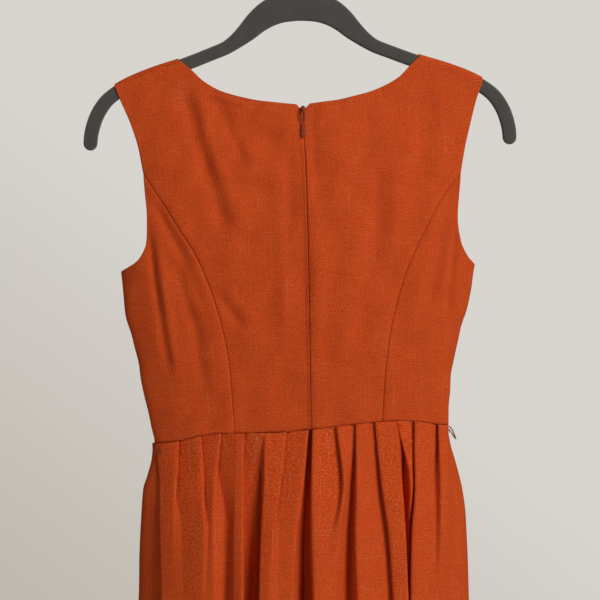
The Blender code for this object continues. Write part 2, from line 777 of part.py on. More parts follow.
def skirt(look):
    rows = fold_table()
    half = len(rows) // 2
    spans = span_counts(rows)
    grid = np.array([skirt_row(rows, share, spans) for share in SKIRT_ROWS])[::-1]
    starts = np.concatenate([[0], np.cumsum([POINTS_PER_FOLD + span for span in spans])])
    middle_of = POINTS_PER_FOLD // 2
    seams = [starts[0] + middle_of, starts[1 + CENTRE_SEAM_FOLD] + middle_of, starts[half] + middle_of]
    left = grid[:, seams[0] : seams[1] + 1]
    right = grid[:, seams[1] : seams[2] + 1]
    round_again = grid[:, starts[-1] : starts[-1] + POINTS_PER_FOLD][:, : middle_of + 1]
    front = np.concatenate([grid[:, seams[2] : starts[-1]], round_again], axis=1)
    for name, part in (("skirt_back_left", left), ("skirt_back_right", right), ("skirt_front", front)):
        columns = [0, *range(2, part.shape[1] - 2), part.shape[1] - 1]
        panel = inner_apart(seam_apart(part[:, columns], 0, None, SKIRT_EDGE), 0, None, SKIRT_EDGE)
        cloth(name, [(panel, True)], look)


def hanger(look):
    """The slim hanger: a rounded section swept along its spine, with round ends."""
    x, z, half = hanger_outline()
    dx = np.gradient(x)
    dz = np.gradient(z)
    length = np.hypot(dx, dz)
    tangent = np.stack([dx, 0 * dx, dz], axis=-1) / length[:, None]
    across = np.stack([-dz, 0 * dx, dx], axis=-1) / length[:, None]
    centre = np.stack([x, 0 * x, z], axis=-1)
    stations = [(centre[i], across[i], half[i], HANGER_HALF_THICKNESS) for i in range(len(x))]
    for angle in HANGER_END_ANGLES:
        a = math.radians(angle)
        for i, turn, place in ((-1, 1, len(stations)), (0, -1, 0)):
            point = centre[i] + turn * tangent[i] * half[i] * math.sin(a)
            end = (point, across[i], half[i] * math.cos(a), HANGER_HALF_THICKNESS * math.cos(a) ** 0.5)
            stations.insert(place, end)
    bm = bmesh.new()
    rings = []
    for point, up, tall, thick in stations:
        ring = []
        straight = max(tall - thick, 0)
        for k in range(HANGER_SIDES):
            a = 2 * math.pi * (k + 0.5) / HANGER_SIDES
            lift = math.copysign(straight, math.sin(a)) + min(thick, tall) * math.sin(a)
            ring.append(bm.verts.new(point + up * lift + np.array((0, thick * math.cos(a), 0))))
        rings.append(ring)
    for one, two in zip(rings, rings[1:]):
        for k in range(HANGER_SIDES):
            following = (k + 1) % HANGER_SIDES
            bm.faces.new((one[k], one[following], two[following], two[k]))
    bm.faces.new(rings[0][::-1])
    bm.faces.new(rings[-1])
    bmesh.ops.recalc_face_normals(bm, faces=bm.faces)
    return add_object("hanger_body", bm, look)


def wire(name, points, radius, look, sides=2):
    """A round wire through the points, as a curve with closed ends."""
    curve = bpy.data.curves.new(name, "CURVE")
    curve.dimensions = "3D"
    curve.bevel_depth = radius
    curve.bevel_resolution = sides
    curve.use_fill_caps = True
    spline = curve.splines.new("POLY")
    spline.points.add(len(points) - 1)
    for point, place in zip(spline.points, points):
        point.co = (*place, 1)
    curve.materials.append(look)
    made = bpy.data.objects.new(name, curve)
    bpy.context.scene.collection.objects.link(made)
    return made


def hook(look):
    """The hook: up from the crown, out and over in one round, its inside resting on the origin."""
    radius = HOOK_INNER_RADIUS + HOOK_WIRE_RADIUS
    centre = HOOK_WIRE_RADIUS - radius
    points = []
    for k in range(HOOK_STEPS + 1):
        a = HOOK_OPENING - (HOOK_OPENING + HOOK_RETURN) * k / HOOK_STEPS
        points.append((-radius * math.sin(a), 0, centre + radius * math.cos(a)))
    foot = CROWN_TOP + CLEARANCE
    last = points[-1]
    neck = [(last[0] * share, 0, last[2] - drop) for share, drop in HOOK_NECK]
    return wire("hanger_hook", [*points, *neck, (0, 0, foot)], HOOK_WIRE_RADIUS, look)


def back_y(x, z):
    angle, height = angle_of([(x, z)])[0]
    return float(on_bodice(angle, height, 1)[1])


def slider(look):
    """The slider: a small rounded block on the closed zip, with a bail on its face."""
    x, z = SLIDER_PLACE
    wide, thick, tall = SLIDER_SIZE
    y = back_y(x, z) + CLOTH / 2 + CLEARANCE + thick / 2 + SLIDER_SLACK
    bm = bmesh.new()
    bmesh.ops.create_cube(bm, size=1)
    for vertex in bm.verts:
        narrow = SLIDER_TAPER if vertex.co.z < 0 else 1
        vertex.co = (vertex.co.x * wide * narrow, vertex.co.y * thick, vertex.co.z * tall)
    edge = SLIDER_ROUNDING
    bmesh.ops.bevel(bm, geom=bm.edges, offset=edge, segments=2, profile=0.5, affect="EDGES", material=-1)
    block = add_object("zip_slider", bm, look)
    block.location = (x, y, z)
    wire_bail = wire("bail_wire", bail_points(x, y + thick / 2, z), BAIL_WIRE, look)
    bail = bpy.data.objects.new("bail", bpy.data.meshes.new_from_object(wire_bail))
    bpy.data.objects.remove(wire_bail)
    bpy.context.scene.collection.objects.link(bail)
    bail.hide_render = True
    union = block.modifiers.new("bail", "BOOLEAN")
    union.operation = "UNION"
    union.object = bail
    return y + thick / 2


def bail_points(x, face, z):
    """The bail's wire: out of the slider's face, round the pull's bar and back in."""
    points = []
    for k in range(BAIL_STEPS + 1):
        a = math.pi * k / BAIL_STEPS
        out = BAIL_RISE + BAIL_RADIUS * math.sin(a)
        points.append((x, face + out, z - PULL_DROP + BAIL_RADIUS * math.cos(a)))
    first = (x, face - BAIL_ROOT, points[0][2])
    last = (x, face - BAIL_ROOT, points[-1][2])
    return [first, *points, last]


def pull(look, face):
    """The pull tab: a ring that turns in the bail and a teardrop tab, in one flat piece, on its axis."""
    x, z = SLIDER_PLACE
    ring_wide, ring_tall = PULL_RING
    half = [(a * ring_wide, b * ring_tall) for a, b in PULL_RING_OUTLINE]
    half += [(a * PULL_TAB, b * PULL_LENGTH) for a, b in PULL_TAB_OUTLINE]
    outer = half + [(-a, b) for a, b in half[-2:0:-1]]
    hole = []
    for k in range(PULL_HOLE_SIDES):
        a = 2 * math.pi * k / PULL_HOLE_SIDES
        hole.append((PULL_HOLE[0] * math.sin(a), -PULL_HOLE_DROP + PULL_HOLE[1] * math.cos(a)))
    bm = bmesh.new()
    edges = []
    for ring in (outer, hole):
        verts = [bm.verts.new((a, -PULL_PLATE / 2, b)) for a, b in ring]
        edges += [bm.edges.new((verts[i], verts[(i + 1) % len(verts)])) for i in range(len(verts))]
    bmesh.ops.triangle_fill(bm, edges=edges, use_beauty=True)
    faces = list(bm.faces)
    made = bmesh.ops.extrude_face_region(bm, geom=faces)
    moved = [part for part in made["geom"] if isinstance(part, bmesh.types.BMVert)]
    bmesh.ops.translate(bm, verts=moved, vec=(0, PULL_PLATE, 0))
    bmesh.ops.recalc_face_normals(bm, faces=bm.faces)
    tab_object = add_object("zip_pull", bm, look)
    axis_y = face + BAIL_RISE + BAIL_RADIUS - BAIL_WIRE - PULL_PLATE / 2 - PULL_PLAY
    axis_z = z - PULL_DROP
    resting_y = back_y(x, axis_z - PULL_LENGTH) + CLOTH / 2 + CLEARANCE + PULL_PLATE / 2
    tab_object.location = (x, axis_y, axis_z)
    tab_object.rotation_euler.x = max(0.0, math.atan2(resting_y - axis_y, PULL_LENGTH)) + PULL_REST_MARGIN
    return tab_object


def zip_tape(look):
    """The closed chain on its tape, just inside the centre back seam."""
    wide, thick = ZIP_TAPE
    down = np.linspace(*ZIP_TAPE_DOWN, ZIP_TAPE_ROWS)
    seam = np.array(CENTRE_BACK[-1][1:])
    x = steady(seam[:, 1], seam[:, 0], down) * MM
    inside = CLOTH / 2 + CLEARANCE + thick / 2 + ZIP_TAPE_SLACK
    grid = np.array(
        [
            [(a + wide * t, back_y(a + wide * t, -d * MM) - inside, -d * MM) for t in ZIP_TAPE_COLUMNS]
            for a, d in zip(x, down)
        ]
    )
    bm = bmesh.new()
    fill_grid(bm, grid, False)
    tape = add_object("zip_chain", bm, look)
    wall = tape.modifiers.new("wall", "SOLIDIFY")
    wall.thickness = thick
    wall.offset = 0


def off_tube(share, out, down):
    """The point this far out from the tube, at this share of a quarter turn from the centre back."""
    z = -down * MM
    middle, half_width, _, back = tube(z)
    turn = share * math.pi / 2
    across = (math.sin(turn) * back, math.cos(turn) * half_width)
    length = math.hypot(*across)
    x = middle + half_width * math.sin(turn) + out * MM * across[0] / length
    return x, back * math.cos(turn) + out * MM * across[1] / length, z


def belt_loops(look):
    """Thread carriers at the ends of the waist seam, standing clear of the cloth between their ends."""
    for name, route in BELT_LOOPS.items():
        points = [off_tube(*point) for point in smooth_line(route, 14)]
        wire(name, points, THREAD_RADIUS, look)


def main():
    for old in list(bpy.data.objects):
        bpy.data.objects.remove(old)
    fabric = material("orange_cloth", (0.53, 0.075, 0.015), 0.85)
    flock = material("grey_flock", (0.075, 0.07, 0.065), 0.9)
    steel = material("hook_steel", (0.6, 0.6, 0.6), 0.25, 1.0)
    rust = material("zip_metal", (0.3, 0.05, 0.02), 0.4, 0.6)
    tape = material("zip_tape", (0.45, 0.07, 0.02), 0.8)
    bodice(fabric)
    skirt(fabric)
    hanger(flock)
    hook(steel)
    zip_tape(tape)
    face = slider(rust)
    pull(rust, face)
    belt_loops(fabric)


main()
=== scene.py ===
"""A fit and flare dress on a slim hanger: its cloth, zip, hanger and stage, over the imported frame."""

import math

import bmesh
import bpy
import numpy as np
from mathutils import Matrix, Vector


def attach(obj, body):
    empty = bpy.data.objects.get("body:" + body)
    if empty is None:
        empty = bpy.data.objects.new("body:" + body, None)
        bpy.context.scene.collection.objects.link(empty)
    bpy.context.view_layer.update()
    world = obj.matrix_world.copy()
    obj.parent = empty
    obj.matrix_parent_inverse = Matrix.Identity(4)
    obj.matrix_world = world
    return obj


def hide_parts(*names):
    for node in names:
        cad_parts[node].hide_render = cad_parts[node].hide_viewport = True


bl_info = {
    "name": "Fit and flare dress",
    "version": (1, 0, 0),
    "blender": (4, 5, 0),
    "location": "View3D > Sidebar > Dress",
    "description": "Builds a sleeveless pleated dress on a slim hanger over its frame",
    "category": "Object",
}

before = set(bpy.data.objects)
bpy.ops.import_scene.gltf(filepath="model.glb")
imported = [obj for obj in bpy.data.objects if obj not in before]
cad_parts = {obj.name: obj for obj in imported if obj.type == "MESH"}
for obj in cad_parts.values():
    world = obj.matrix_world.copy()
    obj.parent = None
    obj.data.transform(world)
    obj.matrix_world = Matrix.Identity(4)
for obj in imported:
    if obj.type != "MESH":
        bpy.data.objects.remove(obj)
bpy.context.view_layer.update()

MM = 0.001

# The cloth's thickness in the frame, and the gaps between pieces.
CLOTH = 1.2 * MM
SEAM_GAP = 0.12 * MM
WAIST_GAP = 0.1 * MM
SIDE_EDGE = 0.06 * MM
CLEARANCE = 0.3 * MM
SAME_POINT = 0.004 * MM

# How finely the cloth is laid out.
ROWS_LOW = 110
ROWS_HIGH = 54
CENTRE_FINE = 72
SIDE_FINE = 56
WRAP_FINE = (78, 66, 54, 42, 30, 18, 9)
FOLD_FINE = 7
SPAN_FINE = 7
SIDE_SPAN_FINE = 28
SKIRT_FINE_ROWS = 90
SKIRT_ROW_START = 0.45
SKIRT_EDGE_FINE = 0.15 * MM
SEAM_SKIP = 2
SKIRT_WEAVE_SHIFT = 0.37
SKIRT_WEAVE_ROW = 0.45
TUBE_LEVELS = 260
TUBE_TOP = -500 * MM
TUBE_PAST_HEM = 8 * MM
TUBE_SHARES = 1441
ROUND_PROBE = 0.0005
HANGER_FINE_SIDES = 28
HANGER_FINE_ENDS = (20, 40, 55, 68, 80)
HOOK_FINE = 72
HOOK_SIDES = 6
HOOK_NECK_FINE = 24
LOOP_FINE = 90
LOOP_TWISTS = 6
LINE_FINE = 400
ZIP_TAPE_ROWS = 60
ZIP_TAPE_COLUMNS = 9
BAIL_FINE = 13
PULL_LOOP_FINE = 36

# Seams, the lapped edge over the zip, and where creases begin under the shoulder.
SEAM_VALLEY = 0.4 * MM
SEAM_VALLEY_WIDTH = 0.9 * MM
SEAM_RIDGE = 0.35 * MM
SEAM_ALLOWANCE = 12 * MM
SEAM_RIDGE_WIDTH = SEAM_ALLOWANCE / 2.2
SEAM_END_ROWS = 5
SIDE_STILL = 6 * MM
LAP_OUT = 1.3 * MM
LAP_IN = -0.8 * MM
LAP_OVER = -0.3 * MM
LAP_START = 0.2175
LAP_EASE = 0.012
LAP_WIDTH = 2.6 * MM
SHOULDER_STILL = 0.15
SHOULDER_EASE = 0.03
CREASE_FADE = 0.22

# Soft troughs and ridges of the hanging bodice, in millimetres.
BACK_CREASES = (
    # across, down at its top; across, down at its foot; half width; height
    (118, 170, 95, 250, 9, -3.6), (96, 240, 78, 306, 10, -4), (103, 176, 86, 250, 7, 2), (84, 240, 62, 304, 10, 2.2),
    (86, 176, 56, 246, 7, -2), (68, 203, 10, 231, 13, -1.5), (62, 250, 18, 262, 11, 1.1),
    (89, 172, 52, 186, 2.4, 0.7), (55, 185.5, 6, 194, 2.4, 0.7), (146, 286, 120, 336, 6, -2.4),
    (126, 320, 98, 390, 7, -1.6), (154, 316, 143, 390, 4.5, -2.8), (145, 380, 133, 452, 5, -2.2),
    (145, 322, 128, 440, 6, 2.2), (124, 352, 108, 408, 6.5, -2.6), (109, 396, 96, 474, 7, -2.2),
    (83, 378, 58, 410, 5, -1.6), (74, 372, 50, 398, 5, 1), (40, 250, 30, 340, 13, -1.5), (20, 300, 14, 420, 7, 1),
    (12, 232, 8, 300, 8, -1.3), (-12, 196, -16, 280, 6, -1.4), (-16, 290, -18, 470, 8, 1.3),
    (-38, 196, -34, 300, 11, 1.1), (-66, 180, -78, 262, 11, -1.6), (-79, 262, -74, 352, 11, -2.1),
    (-50, 300, -48, 430, 11, 1.3), (-100, 210, -96, 300, 12, 1.4), (-120, 180, -126, 262, 8, -1.5),
    (-140, 160, -146, 250, 7, 1.1), (-104, 380, -92, 470, 8, -1.3), (-148, 306, -132, 378, 7, -2.2),
    (-136, 300, -120, 380, 7, 1.5), (-159, 312, -150, 396, 4, -2.6), (-150, 390, -140, 470, 5, 1.2),
)
FRONT_CREASES = (
    # across, down at its top; across, down at its foot; half width; height
    (112, 185, 84, 300, 10, -2), (94, 190, 66, 290, 11, 1.4), (-112, 185, -88, 296, 9, -1.8),
    (-92, 195, -68, 286, 12, 1.2), (20, 220, 8, 330, 16, -1), (-34, 240, -26, 360, 14, 0.9),
    (152, 330, 130, 400, 6, -1.5), (-152, 330, -128, 392, 6, -1.5), (60, 430, 52, 505, 9, -1),
    (-58, 425, -50, 500, 9, -1),
)

# Slight waves all over the bodice: the way they run in radians, their length and their height in millimetres.
# The way times WAVE_SHIFT is how far each is shifted along.
WAVE_SHIFT = 7
WAVES = ((0.2, 31, 0.28), (-0.25, 43, 0.36), (0.45, 24, 0.16), (1.2, 38, 0.24), (-1, 52, 0.3), (1.7, 27, 0.14))

# How far pleats wander from their line and how often, and how many rounds ease their corners at waist and hem.
WANDER_START = 0.06
WANDER_EASE = 0.3
WANDER_ACROSS = 1.2 * MM
WANDER_OUT = 1.3 * MM
ACROSS_WAVE = (9, 2.4)
OUT_WAVE = (13, 1.7, 0.8)
SOFT_ROUNDS = (1, 26)

# The closed teeth under the slider.
SLIDER_DOWN = 191.5
TOOTH_PITCH = 1.5
TOOTH_SIZE = np.array((3.2, 1, 0.95)) * MM
TOOTH_INSIDE = 1 * MM
TOOTH_SHIFT = 0.18 * TOOTH_SIZE[0]
TOOTH_BEVEL = {"offset": 0.2 * MM, "segments": 2, "profile": 0.5, "offset_type": "OFFSET"}

# The slider and its pull, in millimetres.
CAST_SIDES = 16
SLIDER_CENTRE = (-3, 14.71, -187.8)
SLIDER_SHAPE = (
    # up from its centre, half width, half thickness
    (3.5, 0.5, 0.3), (3.2, 1.3, 0.8), (2.5, 2.1, 1.1), (1.2, 2.6, 1.2), (-0.5, 2.5, 1.2), (-2, 2.1, 1.15),
    (-3, 1.7, 0.9), (-3.5, 0.8, 0.4),
)
# The slider's face, how far the bail's round starts above it, the round's radius and the wire's.
BAIL = (15.91, 0.9, 1.7, 0.45)
PULL_AXIS = (-3, 17.3061, -188.7)
PULL_TILT = math.radians(1)
# The pull's ring: half width, half height, how much it narrows at its top, and half its metal's width and thickness.
PULL_LOOP = (1.65, 4.9, 0.3, 0.75, 0.45)
PULL_DROP_SHAPE = (
    # down from the axis, half width, half thickness
    (9.8, 0.45, 0.35), (11.2, 0.5, 0.4), (12.8, 0.8, 0.5), (15.2, 1.3, 0.5), (18.2, 1.8, 0.55), (21.7, 2.1, 0.55),
    (24.7, 2.1, 0.55), (26.8, 1.6, 0.5), (28.1, 0.9, 0.4), (28.6, 0.3, 0.2),
)

# The hanger's spine from the crown to the tip, the same on both sides, and its half height there.
HANGER_SPINE = (
    # across, down, half height
    (0, 79.4, 15.6), (17, 81, 15.3), (31, 86.3, 14), (43, 94.5, 12.3), (54, 105, 10.3), (65, 114.2, 8.2),
    (76.5, 121.8, 7), (90, 127.3, 6.8), (120, 138.6, 6.8), (150, 148.2, 6.9), (175, 158.3, 7), (192, 168.5, 7.1),
    (201, 177, 7.3), (210.5, 193.8, 7.4), (215, 212, 7.3), (215.4, 218, 7.2),
)
HANGER_HALF_THICKNESS = 3 * MM
HANGER_TILT = math.radians(0.85)
HANGER_STATIONS = 180
HOOK_INNER_RADIUS = 20 * MM
HOOK_WIRE_RADIUS = 1.7 * MM
HOOK_OPENING = math.radians(105)
HOOK_RETURN = math.radians(150)
# The wire's neck: the share of the round's last distance from the middle, and how far below the round's end.
HOOK_NECK = ((0.55, 5.5 * MM), (0.12, 10.5 * MM), (0, 14.5 * MM))
CROWN_TOP = -63.8 * MM

# The hanger's arms, which the shoulders are wrapped over.
ARM_INNER_END = 95 * MM
ARM_SAMPLE = 30 * MM
ARM_SLOPE = math.radians(22)
WRAP_RADIUS = HANGER_HALF_THICKNESS + CLEARANCE + CLOTH / 2
WRAP_RISE = (CLEARANCE + CLOTH / 2) / math.cos(ARM_SLOPE)
WRAP_DROP = WRAP_RADIUS / math.cos(ARM_SLOPE)

# The dress as a tube: how far its sides, front and back stand from its middle.
TUBE = (
    # down, left, right, front, back
    (150, 202, 200, 9, 8), (200, 196, 194, 17, 14), (250, 191, 188, 25, 20), (300, 187, 183.5, 31, 25),
    (345, 185, 180, 35, 27), (360, 184, 178, 37, 27.5), (390, 180.3, 171.2, 39, 28), (430, 170.5, 161, 34, 26.5),
    (470, 161.9, 154.5, 28, 24.5), (500, 155.7, 152.4, 24, 23), (512, 153.2, 152.4, 23.5, 23),
    (530, 150, 155, 25, 25), (545, 152, 159.5, 28, 28), (560, 156.5, 164, 32, 32), (577, 162.3, 168.5, 37, 37),
    (605, 165, 173.2, 44, 44), (640, 167.2, 175.2, 51, 51), (690, 169.2, 176.8, 59, 59), (800, 180, 187, 73, 72),
    (950, 201, 207, 90, 88), (1095, 220, 225, 106, 102),
)
WAIST = (
    # across, down
    (-152, 510.5), (-135, 508), (-117, 505.2), (-95, 504.8), (-57, 507.7), (-13, 513), (30, 516.4), (75, 517.2),
    (102, 520), (124, 525.5), (150, 529),
)
WAIST_HALF_WIDTH = 151 * MM
HEM_DOWN = 1088 * MM
BUST_DROP = 110 * MM

# Seams and edges of the bodice's left (+1) and right (-1) half, from the top, each point across and down.
NECK_BACK = {
    +1: ((125.2, 134.9), (112.5, 144.9), (98.1, 158.3), (79.6, 168.5), (61.1, 174.2), (38.5, 178.8), (3.6, 182.4)),
    -1: (
        (-121.8, 132.6), (-112.5, 141.8), (-100.2, 154.2), (-74.5, 167.5), (-49.8, 174.7), (-30.3, 178.8),
        (-9.8, 181.4),
    ),
}
NECK_FRONT = {
    +1: ((125.2, 134.9), (111, 152), (94, 171), (72, 189), (45, 202), (20, 207.5), (-3, 209)),
    -1: ((-121.8, 132.6), (-110, 149), (-95, 168), (-74, 187), (-48, 201), (-25, 207.5), (-3, 209)),
}
CENTRE_SEAM = ((-4, 215), (-6.2, 260), (-8.4, 340), (-10.2, 440), (-11.3, 513))
CENTRE_BACK = {
    +1: ((3.6, 182.4), (-2.4, 190), *CENTRE_SEAM),
    -1: ((-9.8, 181.4), (-3.6, 190), *CENTRE_SEAM),
}
CENTRE_FRONT = ((-3, 209), (-3, 300), (-3, 420), (-3, 514))
ARMHOLE = {
    +1: ((190, 163), (185.5, 174.7), (173.3, 202.5), (165, 228), (160.2, 252.8)),
    -1: ((-187, 160), (-181.4, 174.7), (-174.2, 202.5), (-168.6, 226), (-164, 252.8)),
}
UNDERARM = {
    +1: ((160.2, 252.8), (158.2, 272), (155.7, 300), (157, 324), (164.5, 341), (184, 353)),
    -1: ((-164, 252.8), (-162.6, 272), (-160.8, 298), (-164.5, 322), (-172, 337.5), (-179.6, 345.5)),
}
PRINCESS_BACK = {
    +1: (
        (160.2, 252.8), (151.6, 266.2), (123.8, 309.3), (103.3, 342.2), (88.9, 377.2), (77.6, 415.2), (71.4, 450.1),
        (66.3, 517),
    ),
    -1: (
        (-164, 252.8), (-145.4, 277.5), (-118.7, 327.8), (-106.4, 356.1), (-97.1, 389.5), (-91, 417.2),
        (-86.8, 450.1), (-83.2, 506),
    ),
}
PRINCESS_FRONT = {
    +1: ((160.2, 252.8), (150, 272), (122, 315), (101, 350), (90, 385), (81, 425), (68, 517)),
    -1: ((-164, 252.8), (-150, 274), (-124, 318), (-104, 352), (-93, 387), (-84, 425), (-74, 506.3)),
}
SHOULDER_EDGE = 0.3 * MM

# The weave's cloudy variations: weft, warp, long slubs in the weft and in the warp, clouded dye, and flecks, which are
# partly pale fibres and partly painted highlight, glints of light on the threads painted as pale colour.
WEAVE_CLOUDS = (
    # how many a metre across and up, a place of its own, detail, roughness
    (110, 1300, 0, 3, 0.6),
    (1300, 90, 5, 3, 0.6),
    (30, 750, 9, 2, 0.5),
    (700, 20, 13, 2, 0.5),
    (60, 60, 21, 4, 0.6),
    (1000, 900, 31, 1, 0.5),
)
# Where the variation starts to show, and where it shows in full.
THREAD_DARK_FROM = (2.1, 2.75)
SLUB_FROM = (0.58, 0.72)
SLUB_SHARE = 0.45
# The flecks paint pale fibres together with painted highlight: glints on the threads painted in the pale colour.
FLECK_AND_GLINT_FROM = (0.42, 0.7)

# The belt loops' thread: its lighter and darker strands, which are real, both darkened below the cloth's colour as
# painted shade, since one loop hangs in shade.
LOOP_THREAD_AND_SHADE_COLOURS = ((0.34, 0.075, 0.02), (0.2, 0.035, 0.008))
NICKEL = (0.62, 0.61, 0.6)
NICKEL_STAIN = (0.45, 0.44, 0.43)
LACQUER_WORN = (0.36, 0.07, 0.025)
FLOOR_COLOUR = (0.72, 0.71, 0.68)

# The pleats. Each lies on the waist in three layers, PLEAT_LAYER apart, and opens into waves lower down.
PLEAT_LAYER = 2.4 * MM
FOLD_LEVELS = (567.3, 618.7, 690.6, 1088)
HEM_SPREAD = 1.3
HEM_HEIGHT = 1.35
HEM_RADIUS = 1.6
BACK_FOLDS = (
    # turn (1 out, -1 in), across at the waist and the next three levels, out at those three levels, radius
    (1, 145.5, 142, 140, 138.4, 1, 2, 2.5, 1.5),
    (1, 124.4, 125.9, 126.9, 124.9, 3.5, 3, 1, 4),
    (-1, 135.7, 129, 118.7, 115.6, -3.5, 0.5, 2, 4),
    (1, 101.7, 98.7, 95.1, 98.1, 4, 6.5, 6.5, 5),
    (-1, 113, 103.8, 91, 92, -4, 2.5, 4.5, 4),
    (1, 81.2, 85.8, 86.8, 85.8, 3, 3.5, 3.5, 4),
    (-1, 92.5, 81.7, 73.5, 72, -5, -6.5, -8, 4),
    (1, 64, 63.5, 63, 62.5, 3, 5, 6.5, 3),
    (1, 57.8, 58.1, 57.8, 57, 4, 6.5, 8, 1.8),
    (-1, 69.4, 60.6, 57.5, 56.5, -9, -12, -15, 2),
    (1, 36, 42.6, 45.7, 46.8, -9, -13, -17, 2),
    (-1, 47.3, 40, 39.6, 39.6, -11, -17, -22, 1.8),
    (1, 34.4, 34.9, 36.5, 37.5, 3.5, 5, 7, 2),
    (1, 14.9, 20.6, 27.7, 31.9, 4.5, 7, 9.5, 2.5),
    (-1, 26.2, 24.7, 22.1, 20, -2.5, 2, 6, 4),
    (1, -7.2, -1.5, 5.7, 9.8, 4, 4, 4.5, 3),
    (-1, 4.1, -2.1, -0.5, -0.5, -8, -12, -14, 3),
    (-1, -11.3, -6.6, -5.4, -6.2, -12, -17, -21, 3),
    (-1, -25.2, -9.6, -8.2, -9.6, -11, -16, -20, 2),
    (1, -13.9, -13.2, -13.6, -15.8, 2.5, 6, 9, 3.2),
    (-1, -49.3, -41.1, -30.3, -27.2, -3.5, 2.5, 6, 3),
    (1, -38, -44.2, -36.5, -32.4, 4, 3.5, 5.5, 2.5),
    (-1, -68.9, -53.4, -51.9, -51.4, -9, -13, -14, 2.5),
    (1, -57.6, -57.6, -56.4, -57.2, 3.5, 5, 7, 2),
    (-1, -88.4, -84.4, -90.6, -94.6, -6, -5.5, -4.5, 2.2),
    (1, -77.1, -83.2, -90.2, -94.8, 3.5, 5.5, 7, 2.2),
    (1, -95.1, -100.6, -102.6, -103.3, 5.5, 7.5, 8.5, 1.6),
    (-1, -110, -106, -106.6, -107.2, -13, -16, -16, 1.5),
    (1, -98.7, -112, -112, -110.5, 1, -7, -13, 1.5),
    (-1, -128.5, -119.7, -115.5, -112.5, -6, -14, -14, 1.5),
    (1, -117.2, -117.2, -113.6, -112.2, 4, 4, 3.5, 2.4),
    (-1, -149.5, -138.2, -135.1, -132.1, -4, -0.5, 1.5, 4),
    (1, -141.8, -142.6, -140.4, -138.6, 5, 5, 3.5, 3),
    (1, -149.2, -149.8, -148.6, -145, 1.5, 2.5, 3, 1.3),
)
CENTRE_SEAM_FOLD = 17
SIDE_SEAMS = {
    # across at the waist and the next three levels, out at those three levels
    +1: (149, 145.4, 143.4, 141.8, -3, -7, -9),
    -1: (-152.3, -152.6, -151.6, -148, -2, -6.5, -8),
}
SEAM_FOLD_RADIUS = 1.1
LEAST_FOLD_RUN = 0.8 * MM
BELT_TIGHT = 0.95
BELT_EASE = 0.85
BELT_ROUNDS = 60
ARC_STEPS = 720

# The zip at the top of the centre back.
ZIP_TAPE = (14 * MM, 1 * MM)
ZIP_TAPE_DOWN = (186.5, 500)
ZIP_TAPE_SLACK = 0.1 * MM
ZIP_TAPE_WALL = 0.5 * MM

# The belt loops: half the thread's width, its two strands, and which way the first strand starts.
THREAD_RADIUS = 0.68 * MM
STRAND_OFFSET = 0.5 * THREAD_RADIUS
STRAND_RADIUS = 0.55 * THREAD_RADIUS
STRAND_SIDES = 3
LOOP_ASIDE = (0.3, 1, 0.2)
BELT_LOOPS = {
    # share of a quarter turn round from the centre back, out from the cloth, down
    "belt_loop_left": (
        (0.785, 1.5, 530.9), (0.817, 2.4, 529.2), (0.849, 3.2, 531.9), (0.860, 3.6, 535.6), (0.834, 3.8, 538.9),
        (0.797, 3.8, 539.4), (0.776, 3.6, 536.4), (0.789, 3, 533.1), (0.823, 2.2, 531.7), (0.858, 1.5, 533.6),
    ),
    "belt_loop_right": (
        (-0.985, 1.2, 511.8), (-0.990, 3.4, 513.6), (-0.990, 5.2, 516.9), (-0.990, 6, 520.6), (-0.990, 7, 524.6),
        (-0.985, 6.4, 524), (-0.980, 4.9, 521.6), (-0.975, 3.6, 518.3), (-0.970, 2.2, 516.6), (-0.970, 1, 514.4),
    ),
}

# The stage, in metres.
FLOOR_HEIGHT = -1.45
FLOOR_SIZE = 4.4
CAMERA_PLACE = (0, 1.4, -0.382)
CAMERA_LENS = 81.7
CAMERA_REACH = 50
WALL_COLOUR = (0.7, 0.675, 0.635)
# The darker wall colour below, with its way and its range, is painted shade on the backdrop: it darkens the wall down
# and to one side, where the dress would shade it.
WALL_PAINTED_SHADE = (0.5, 0.46, 0.4)
WALL_PAINTED_SHADE_WAY = (0.6, 0, -0.8)
WALL_PAINTED_SHADE_RANGE = (0, 0.34)
WALL_LEVEL = 0.98
ROOM_LEVEL = 0.12
LIGHTS = (
    # name, place, what it looks at, size, watts, colour
    ("key_lamp", (-1.8, 2.02, 1.05), (0, 0, -0.4), 1.5, 71, (1, 0.97, 0.93)),
    ("fill_lamp", (1.3, 1.6, -0.2), (0, 0, -0.5), 1.6, 5, (1, 0.98, 0.96)),
    ("front_lamp", (0.6, -2.2, 0.4), (0, 0, -0.5), 1.6, 18, (1, 0.98, 0.95)),
)


def steady(xs, ys, at):
    """Values of a smooth curve through (xs, ys) that never overshoots them."""
    xs, ys, at = (np.asarray(a, float) for a in (xs, ys, at))
    gap = np.diff(xs)
    slope = np.diff(ys) / gap
    tangent = np.concatenate([slope[:1], np.zeros(len(xs) - 2), slope[-1:]])
    same = slope[:-1] * slope[1:] > 0
    harmonic = 2 * slope[:-1] * slope[1:] / np.where(same, slope[:-1] + slope[1:], 1)
    tangent[1:-1] = np.where(same, harmonic, 0)
    at = np.clip(at, xs[0], xs[-1])
    i = np.clip(np.searchsorted(xs, at, side="right") - 1, 0, len(gap) - 1)
    t = (at - xs[i]) / gap[i]
    rise = ys[i] * (1 + 2 * t) * (1 - t) ** 2 + ys[i + 1] * t**2 * (3 - 2 * t)
    return rise + gap[i] * (tangent[i] * t * (1 - t) ** 2 - tangent[i + 1] * t**2 * (1 - t))


